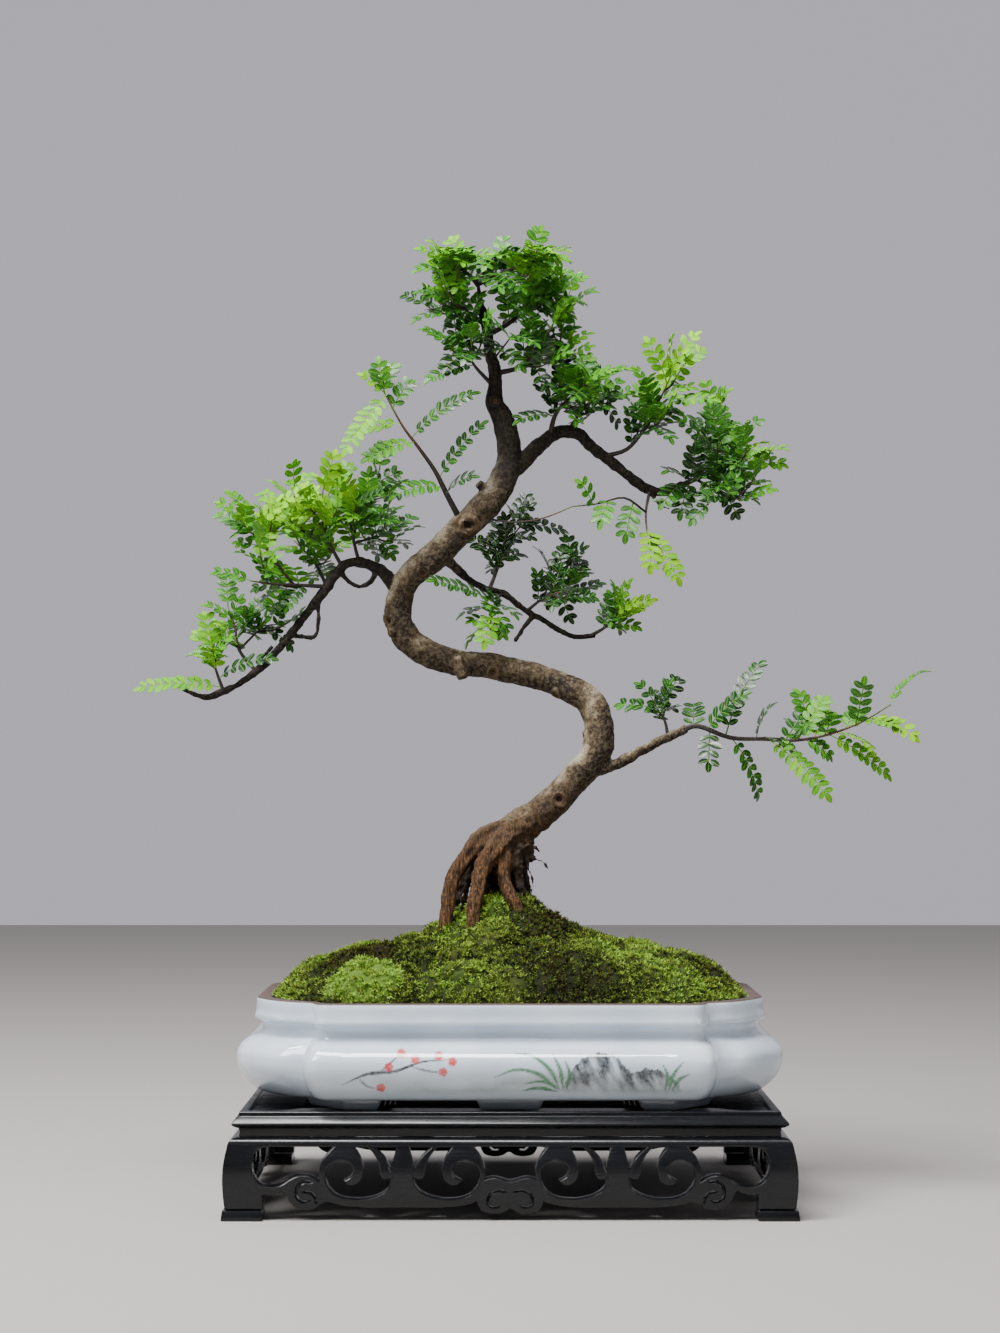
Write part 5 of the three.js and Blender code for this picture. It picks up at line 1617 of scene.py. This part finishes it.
SPRAYS = [
    spray("cascade_tip", 6, 1, [
        twig(1.3, 4, 0.45, 0.4, 30, (-199, 344, -35), (-204, 358, -36), (-207, 372, -38)),
    ], [
        [(-200, 346, -35), (-262, 344, -52)], [(-202, 352, -36), (-160, 366, -48)],
    ]),
    spray("cascade_low", 6, 1, [
        twig(1.4, 4, 0.3, 1, 30, (-177, 358, -31), (-188, 372, -28), (-191, 388, -24), (-196, 402, -20)),
        twig(1, 3, 0.4, 2, 28, (-188, 372, -28), (-176, 384, -22), (-166, 394, -12)),
    ]),
    spray("cascade_outer", 6, 2, [
        twig(1.6, 4, 0.25, 0, 30, (-128, 416, -20), (-146, 417, -30), (-166, 418, -40), (-180, 420, -46)),
        twig(1.2, 3, 0.5, 2, 34, (-150, 417, -32), (-163, 434, -34), (-172, 446, -34), (-178, 458, -32)),
    ], [
        [(-172, 446, -34), (-206, 468, -24)], [(-176, 456, -32), (-140, 484, -40)],
    ]),
    spray("cascade_back", 15, 2, [
        twig(1.4, 4, 0.25, 1, 32, (-127, 416, -18), (-134, 430, 6), (-142, 440, 30), (-150, 448, 52)),
    ]),
    spray("left_crown", 36, 4, [
        twig(1.5, 5, 0.3, 0, 34, (-116, 429, -15), (-124, 444, -20), (-130, 462, -24), (-130, 484, -26)),
        twig(1.1, 3, 0.4, 1.6, 32, (-122, 440, -18), (-140, 452, -6), (-154, 466, 4)),
    ], [
        [(-130, 470, -24), (-160, 474, -40)],
    ]),
    spray("left_inner", 15, 3, [
        twig(
            1.4, 5, 0.25, 1, 32,
            (-104, 431, -12), (-108, 446, -16), (-110, 462, -20), (-100, 474, -26), (-86, 479, -34),
        ),
        twig(1, 3, 0.3, 0, 28, (-108, 446, -16), (-96, 450, 2), (-84, 452, 20)),
    ], [
        [(-110, 458, -19), (-76, 462, -36)],
    ]),
    spray("reddish_shoot", 15, 0, [
        twig(
            2.3, 0, 0.35, 0, 32,
            (-34, 462, -5), (-44, 481, -12), (-52, 497, -16), (-64, 514, -20), (-75, 529, -24),
            (-88, 553, -28),
        ),
    ], [
        [(-68, 520, -21), (-20, 553, -30)], [(-49, 492, -15), (-15, 533, -26)],
        [(-44, 481, -12), (-21, 494, -30)], [(-66, 517, -21), (-104, 503, -38)],
        [(-76, 530, -24), (-116, 519, -14)], [(-86, 550, -28), (-117, 507, -50)],
        [(-88, 552, -28), (-106, 566, -34)], [(-88, 552, -28), (-80, 574, -16)],
        [(-87, 551, -28), (-92, 578, -32)], [(-82, 540, -26), (-66, 562, -22)],
        [(-46, 485, -13), (-85, 477, -30)],
    ]),
    spray("apex_top", 14, 5, [
        twig(3, 0, 0.35, 0, 32, (-19.4, 608, 0), (-21, 620, 0), (-22.5, 633, 0)),
        twig(1.8, 3, 0.4, 0, 28, (-22, 627, 0), (-30, 636, -6), (-42, 642, -12)),
        twig(1.8, 3, 0.4, 1, 26, (-22, 630, 0), (-16, 640, 6), (-8, 645, 16)),
        twig(2.1, 4, 0.35, 2, 27, (-22, 628, 0), (-4, 636, -6), (12, 643, -14), (20, 646, -20)),
    ], [
        [(-40, 641, -11), (-67, 654, -22)], [(-20, 634, 0), (-4, 622, -26)],
        [(-8, 636, -6), (12, 622, -28)], [(-26, 634, -3), (-40, 622, -26)],
    ]),
    spray("apex_left", 39, 2, [
        twig(1.9, 3, 0.4, 0, 28, (-18, 600, 0), (-34, 612, -8), (-45, 624, -16)),
        twig(1, 3, 0.4, 2, 28, (-30, 608, -5), (-38, 606, 8), (-44, 608, 20)),
    ]),
    spray("apex_right", 21, 4, [
        twig(2.1, 4, 0.3, 0, 31, (-15, 592, 0), (2, 602, 6), (14, 616, 12), (22, 632, 16)),
        twig(1, 3, 0.4, 1.2, 30, (4, 604, 7), (20, 612, 18), (32, 618, 30)),
    ]),
    spray("apex_low", 4, 3, [
        twig(2.1, 4, 0.3, 2, 29, (-10, 565, 2), (8, 570, -6), (20, 584, -14), (29, 598, -20)),
        twig(1, 3, 0.4, 0, 30, (8, 570, -6), (24, 574, 8), (38, 578, 20)),
    ]),
    spray("apex_inner", 29, 5, [
        twig(1.7, 2, 0.6, 0, 28, (-11, 556, 3), (-24, 570, -8), (-29, 580, -16)),
        twig(0.8, 0, 0.35, 0, 32, (-12, 574, 0), (-4, 584, -10), (2, 592, -18)),
    ], [
        [(-25, 571, -9), (-60, 559, -26)], [(1, 591, -17), (22, 584, -34)],
        [(0, 590, -15), (-18, 604, -34)], [(-4, 584, -10), (-24, 588, -28)],
        [(-6, 581, -8), (12, 566, -22)],
    ]),
    spray("limb_top", 27, 5, [
        twig(2.1, 5, 0.3, 0, 32, (28, 520, 12), (32, 536, 4), (42, 548, -6), (56, 556, -14)),
    ], [
        [(32, 535, 4), (2, 530, -16)],
    ]),
    spray("limb_back", 25, 4, [
        twig(1.3, 4, 0.35, 1, 33, (40, 524, 14), (50, 538, 30), (60, 548, 46)),
    ]),
    spray("right_upper", 17, 4, [
        twig(1.8, 6, 0.3, 0, 33, (66, 507, 18), (82, 512, 14), (94, 526, 8), (104, 545, 2), (114, 566, -4)),
    ], [
        [(113, 564, -4), (134, 596, -12)], [(110, 558, -2), (94, 592, -8)],
        [(101, 540, 4), (148, 546, -20)],
    ]),
    spray("right_outer", 37, 5, [
        twig(2.2, 5, 0.2, 0, 32, (118, 486, 22), (132, 492, 14), (150, 500, 6), (168, 506, -2)),
        twig(1.2, 3, 0.4, 1, 30, (132, 492, 14), (138, 506, 30), (146, 520, 44)),
        twig(1.2, 3, 0.3, 2, 30, (130, 491, 16), (146, 482, 2), (162, 476, -10)),
    ], [
        [(166, 505, -2), (195, 500, -8)], [(120, 487, 20), (104, 470, -4)],
        [(126, 489, 18), (118, 462, 2)], [(124, 489, 18), (106, 496, -8)],
    ]),
    spray("right_hanging", 3, 0, [
        twig(1.3, 0, 0.35, 0, 32, (98, 484, 21), (95, 468, 12), (96, 452, 4)),
        twig(0.9, 0, 0.35, 0, 32, (95, 468, 12), (80, 478, 0), (62, 474, -10), (44, 472, -16)),
        twig(0.8, 0, 0.35, 0, 32, (-14, 463, 0), (4, 461, -8), (24, 464, -13), (44, 472, -16)),
    ], [
        [(96, 454, 5), (120, 416, -6)], [(96, 456, 6), (98, 424, -14)],
        [(70, 476, -6), (62, 456, -24)], [(86, 474, 5), (80, 446, -8)],
        [(58, 473, -12), (46, 492, -22)],
    ]),
    spray("middle_inner", 3, 2, [
        twig(1.5, 5, 0.25, 0, 30, (-14, 414, 16), (-8, 430, 26), (-4, 446, 34), (2, 462, 40)),
    ], [
        [(1, 459, 39), (42, 454, 52)],
    ]),
    spray("middle_right", 4, 2, [
        twig(1.3, 3, 0.3, 0, 30, (12, 399, 24), (24, 408, 16), (40, 414, 6)),
        twig(1.1, 3, 0.3, 2, 30, (24, 408, 16), (34, 414, 36), (46, 420, 54)),
    ]),
    spray("middle_tip", 37, 2, [
        twig(1.5, 3, 0.4, 1, 32, (57, 382, 32), (67, 388, 30), (76, 396, 26)),
    ], [
        [(74, 394, 27), (103, 408, 18)],
    ]),
    spray("middle_front", 38, 1, [
        twig(1.2, 3, 0.5, 0, 27, (-6, 411, 18), (-10, 404, 2), (-14, 396, -12)),
    ], [
        [(-10, 405, 3), (-58, 421, -34)], [(-13, 397, -11), (-18, 372, -26)],
    ]),
    spray("low_inner", 38, 1, [
        twig(1.4, 3, 0.5, 1, 22, (110, 311, -14), (108, 322, -12), (102, 332, -10)),
    ], [
        [(103, 331, -10), (72, 334, -2)],
    ]),
    spray("low_outer", 25, 1, [
        twig(
            2, 7, 0.4, 0, 34,
            (118, 315, -16), (131, 319, -19), (153, 311, -22), (176, 310, -26), (198, 309, -30),
            (221, 313, -34), (245, 322, -38), (265, 334, -42),
        ),
    ], [
        [(137, 316, -20), (168, 344, -34)], [(150, 312, -22), (178, 366, -10)],
        [(139, 315, -20), (138, 287, -36)], [(154, 311, -22), (173, 266, -10)],
        [(180, 310, -27), (224, 266, -46)], [(200, 309, -30), (222, 341, -22)],
        [(222, 313, -34), (266, 281, -30)], [(251, 325, -39), (285.7, 308, -52)],
        [(128, 318, -18), (128, 336, 8)],
    ]),
]

# %% Fronds
PITCH = 6.0  # mm between pairs of leaflets
LEAFLET_LENGTH = 9.2
STALK_SHARE = 0.12  # of a frond, bare of leaflets
RACHIS_STEPS = 7
TIP_RADIUS = 0.45
TWIG_SIDES = 7

CROWN_TOP = 645
# the age of the leaves inside the crown, set low also as painted shade there
INNER_AGE_AND_PAINTED_SHADE = 0.24
# Places x and z where the crown is young and bright, partly as painted light on its lit tops,
# with their reach and their amount.
YOUNG_AND_PAINTED_LIGHT = [
    (-150, 478, 60, 0.62), (-108, 545, 40, 0.55), (-245, 350, 40, 0.5), (-208, 385, 26, 0.5),
    (-45, 645, 34, 0.45), (25, 652, 36, 0.45), (60, 610, 28, 0.35), (120, 585, 40, 0.7),
    (60, 560, 26, 0.35), (165, 545, 26, 0.35), (195, 505, 30, 0.5), (112, 425, 30, 0.5),
    (58, 470, 26, 0.4), (96, 408, 24, 0.5), (-20, 372, 26, 0.5), (280, 312, 48, 0.6),
    (222, 270, 34, 0.4), (215, 342, 24, 0.35),
]


def tube_shape(rings):
    """Points and faces of a tube through rings, closed at both ends."""
    sides = len(rings[0])
    points = [point for ring in rings for point in ring]
    faces = []
    for i in range(len(rings) - 1):
        for k in range(sides):
            after = (k + 1) % sides
            faces.append(
                [i * sides + k, i * sides + after, (i + 1) * sides + after, (i + 1) * sides + k]
            )
    faces.append(list(reversed(range(sides))))
    faces.append([(len(rings) - 1) * sides + k for k in range(sides)])
    return points, faces


def add_frond(leaves, base, tip, facing, arch, age, rng):
    """Adds a frond's rachis and leaflets to a heap."""
    length = (tip - base).length
    ahead = (tip - base).normalized()
    up = (facing - facing.dot(ahead) * ahead).normalized()
    side = up.cross(ahead)

    def along(s):
        return base + ahead * (s * length) + up * (4 * arch * length * s * (1 - s))

    rings = []
    for i in range(RACHIS_STEPS + 1):
        s = i / RACHIS_STEPS
        wide, flat = 0.62 - 0.3 * s, 0.4 - 0.18 * s
        centre = along(s * (1 - 0.6 * LEAFLET_LENGTH / length))
        ring = [centre + side * wide, centre + up * flat, centre - side * wide, centre - up * flat]
        rings.append(ring)
    leaves.copy(tube_shape(rings), Matrix.Identity(4), age=min(1, age + 0.12), across=0.1)
    blade = LEAFLET_LENGTH * min(1, 0.62 + length / 80)
    end_share = 1 - 0.84 * blade / length
    pairs = max(3, round((end_share - STALK_SHARE) * length / PITCH) + 1)
    for k in range(pairs):
        s = STALK_SHARE + (end_share - 0.03 - STALK_SHARE) * k / (pairs - 1)
        swell = 0.72 + 0.28 * math.sin(math.pi * (k + 0.9) / (pairs + 0.6))
        heading = (along(s + 0.01) - along(s)).normalized()
        normal = heading.cross(side).normalized()
        if normal.dot(up) < 0:
            normal.negate()
        for hand in (1, -1):
            lean = math.radians(rng.uniform(52, 68))
            out = heading * math.cos(lean) + side * hand * math.sin(lean)
            out += normal * rng.uniform(0.05, 0.3)
            size = blade * swell * rng.uniform(0.88, 1.06)
            own = min(1, max(0, age + rng.gauss(0, 0.05)))
            add_leaflet(leaves, along(s + 0.02 * rng.random()), out, normal, size, own)
    end = (along(1) - along(0.96)).normalized()
    add_leaflet(leaves, along(end_share), end, up, blade * 0.86, min(1, age + 0.08))


def add_leaflet(leaves, foot, out, normal, size, age):
    """Adds one leaflet that points out and faces a normal."""
    out = out.normalized()
    wide = normal.cross(out).normalized()
    above = out.cross(wide)
    turn = Matrix((out, wide, above)).transposed().to_4x4()
    place = Matrix.Translation(foot) @ turn @ Matrix.Scale(size, 4)
    leaves.copy(LEAFLET, place, age=age, across=leaflet_across)


# %% Twigs
class SteadyRandom:
    """The generator that placed the fronds of the solids."""

    def __init__(self, seed):
        self.state = seed

    def __call__(self):
        self.state = (1664525 * self.state + 1013904223) % 4294967296
        return self.state / 4294967296


def frond_course(path, t, angle, away):
    """The direction of a frond that leaves a twig at a share of it."""
    ahead = route_heading(path, t)
    side = ahead.cross(Vector((0, 1, 0))).normalized()
    other = side.cross(ahead)
    course = 0.55 * ahead + away * (math.cos(angle) * side + math.sin(angle) * other)
    course.z += 0.2
    return course.normalized()


def inside(tip):
    """Keeps the tip of an added frond below the top of the crown."""
    return Vector((tip.x, tip.y, min(tip.z, CROWN_TOP)))


def youth_and_painted_light(point, rng):
    """Age and painted light of the leaves: dark inside the crown and at its back, bright at lit tips."""
    value = INNER_AGE_AND_PAINTED_SHADE
    for x, z, reach, amount in YOUNG_AND_PAINTED_LIGHT:
        value += amount * math.exp(-((point.x - x) ** 2 + (point.z - z) ** 2) / reach**2)
    # painted shade: the leaves get darker towards the back of the crown
    return min(0.9, max(0.05, value + rng.gauss(0, 0.07) - 0.004 * max(0, point.y)))


def add_stick(path, radius, wood):
    """Adds a twig's wood, which tapers to its tip."""
    last = len(path) - 1
    radii = [radius + (TIP_RADIUS - radius) * i / last for i in range(last + 1)]
    rings = tube_rings(path, radii, TWIG_SIDES, 4 * last)
    ages = [i / (4 * last) for i in range(4 * last + 1) for _ in range(TWIG_SIDES)]
    wood.copy(tube_shape(rings), Matrix.Identity(4), age=ages)


def grow_side_twig(path, t, angle, rng, leaves, wood):
    """Adds a short twig with a few small fronds to a twig."""
    course = frond_course(path, t, angle, 0.8)
    base = route_point(path, t)
    reach = rng.uniform(13, 22)
    bend = Vector((0, 0, 0.25 * reach))
    side_path = [base, base + 0.5 * reach * course, inside(base + reach * course + bend)]
    add_stick(side_path, 0.8, wood)
    for k, share in enumerate((0.4, 0.62, 0.82, 1)):
        way = frond_course(side_path, share, GOLDEN_ANGLE * k + angle, 0.3 if k == 3 else 0.85)
        foot = route_point(side_path, share)
        tip = inside(foot + rng.uniform(17, 27) * way)
        facing = Vector((rng.uniform(-0.5, 0.5), rng.uniform(-0.9, 0.0), 0.8))
        add_frond(leaves, foot, tip, facing, rng.uniform(0.03, 0.12), youth_and_painted_light(tip, rng), rng)


def grow_twig(each, steady, rng, fill, leaves, wood):
    """Adds a twig with the fronds of the solid, and smaller ones between them."""
    route, radius, fronds, start, turn, size = each
    path = [spot(*p) for p in route]
    add_stick(path, radius, wood)
    for i in range(fronds):
        tip_frond = i == fronds - 1
        t = 1 if tip_frond else start + (1 - start) * i / fronds
        course = frond_course(path, t, GOLDEN_ANGLE * i + turn, 0.25 if tip_frond else 0.85)
        length = size * (0.8 + 0.35 * steady())
        facing = Vector((steady() - 0.5, -0.45 + 0.8 * (steady() - 0.5), 0.85))
        base = route_point(path, t)
        tip = base + length * course
        add_frond(leaves, base, tip, facing, 0.05 + 0.09 * steady(), youth_and_painted_light(tip, rng), rng)
    for i in range(max(0, fronds - 1)):
        t = start + (1 - start) * (i + 0.5) / fronds
        course = frond_course(path, t, GOLDEN_ANGLE * (i + 0.5) + turn + math.pi, 0.8)
        base = route_point(path, t)
        length = size * rng.uniform(0.6, 0.85)
        facing = Vector((rng.uniform(-0.5, 0.5), rng.uniform(-0.9, -0.2), 0.8))
        tip = inside(base + length * course)
        add_frond(leaves, base, tip, facing, rng.uniform(0.03, 0.1), youth_and_painted_light(tip, rng) - 0.08, rng)
    for i in range(fill if fronds else 0):
        t = start + (0.95 - start) * (i + 0.3) / fill
        grow_side_twig(path, t, GOLDEN_ANGLE * i + turn + 1.2, rng, leaves, wood)


# %% Sprays
for name, seed, fill, twigs, lone in SPRAYS:
    steady = SteadyRandom(seed)
    rng = Random(seed)
    leaves, wood = Heap("age", "across"), Heap("age")
    for each in twigs:
        grow_twig(each, steady, rng, fill, leaves, wood)
    for foot, tip in lone:
        facing = Vector((0.5 * (steady() - 0.5), -0.6, 0.7))
        arch = 0.04 + 0.08 * steady()
        add_frond(leaves, spot(*foot), spot(*tip), facing, arch, youth_and_painted_light(spot(*tip), rng), rng)
    foliage, sticks = leaves.piece(f"leaves_{name}"), wood.piece(f"twigs_{name}")
    for face in sticks.data.polygons:
        face.material_index = 1
    for piece in (foliage, sticks):
        piece.data.materials.append(leaf)
        piece.data.materials.append(twig_bark)
    weld(foliage)
    weld(sticks)
    finish(join(f"leafy_{name}", [foliage, sticks]), [f"spray_{name}"], [], 50)
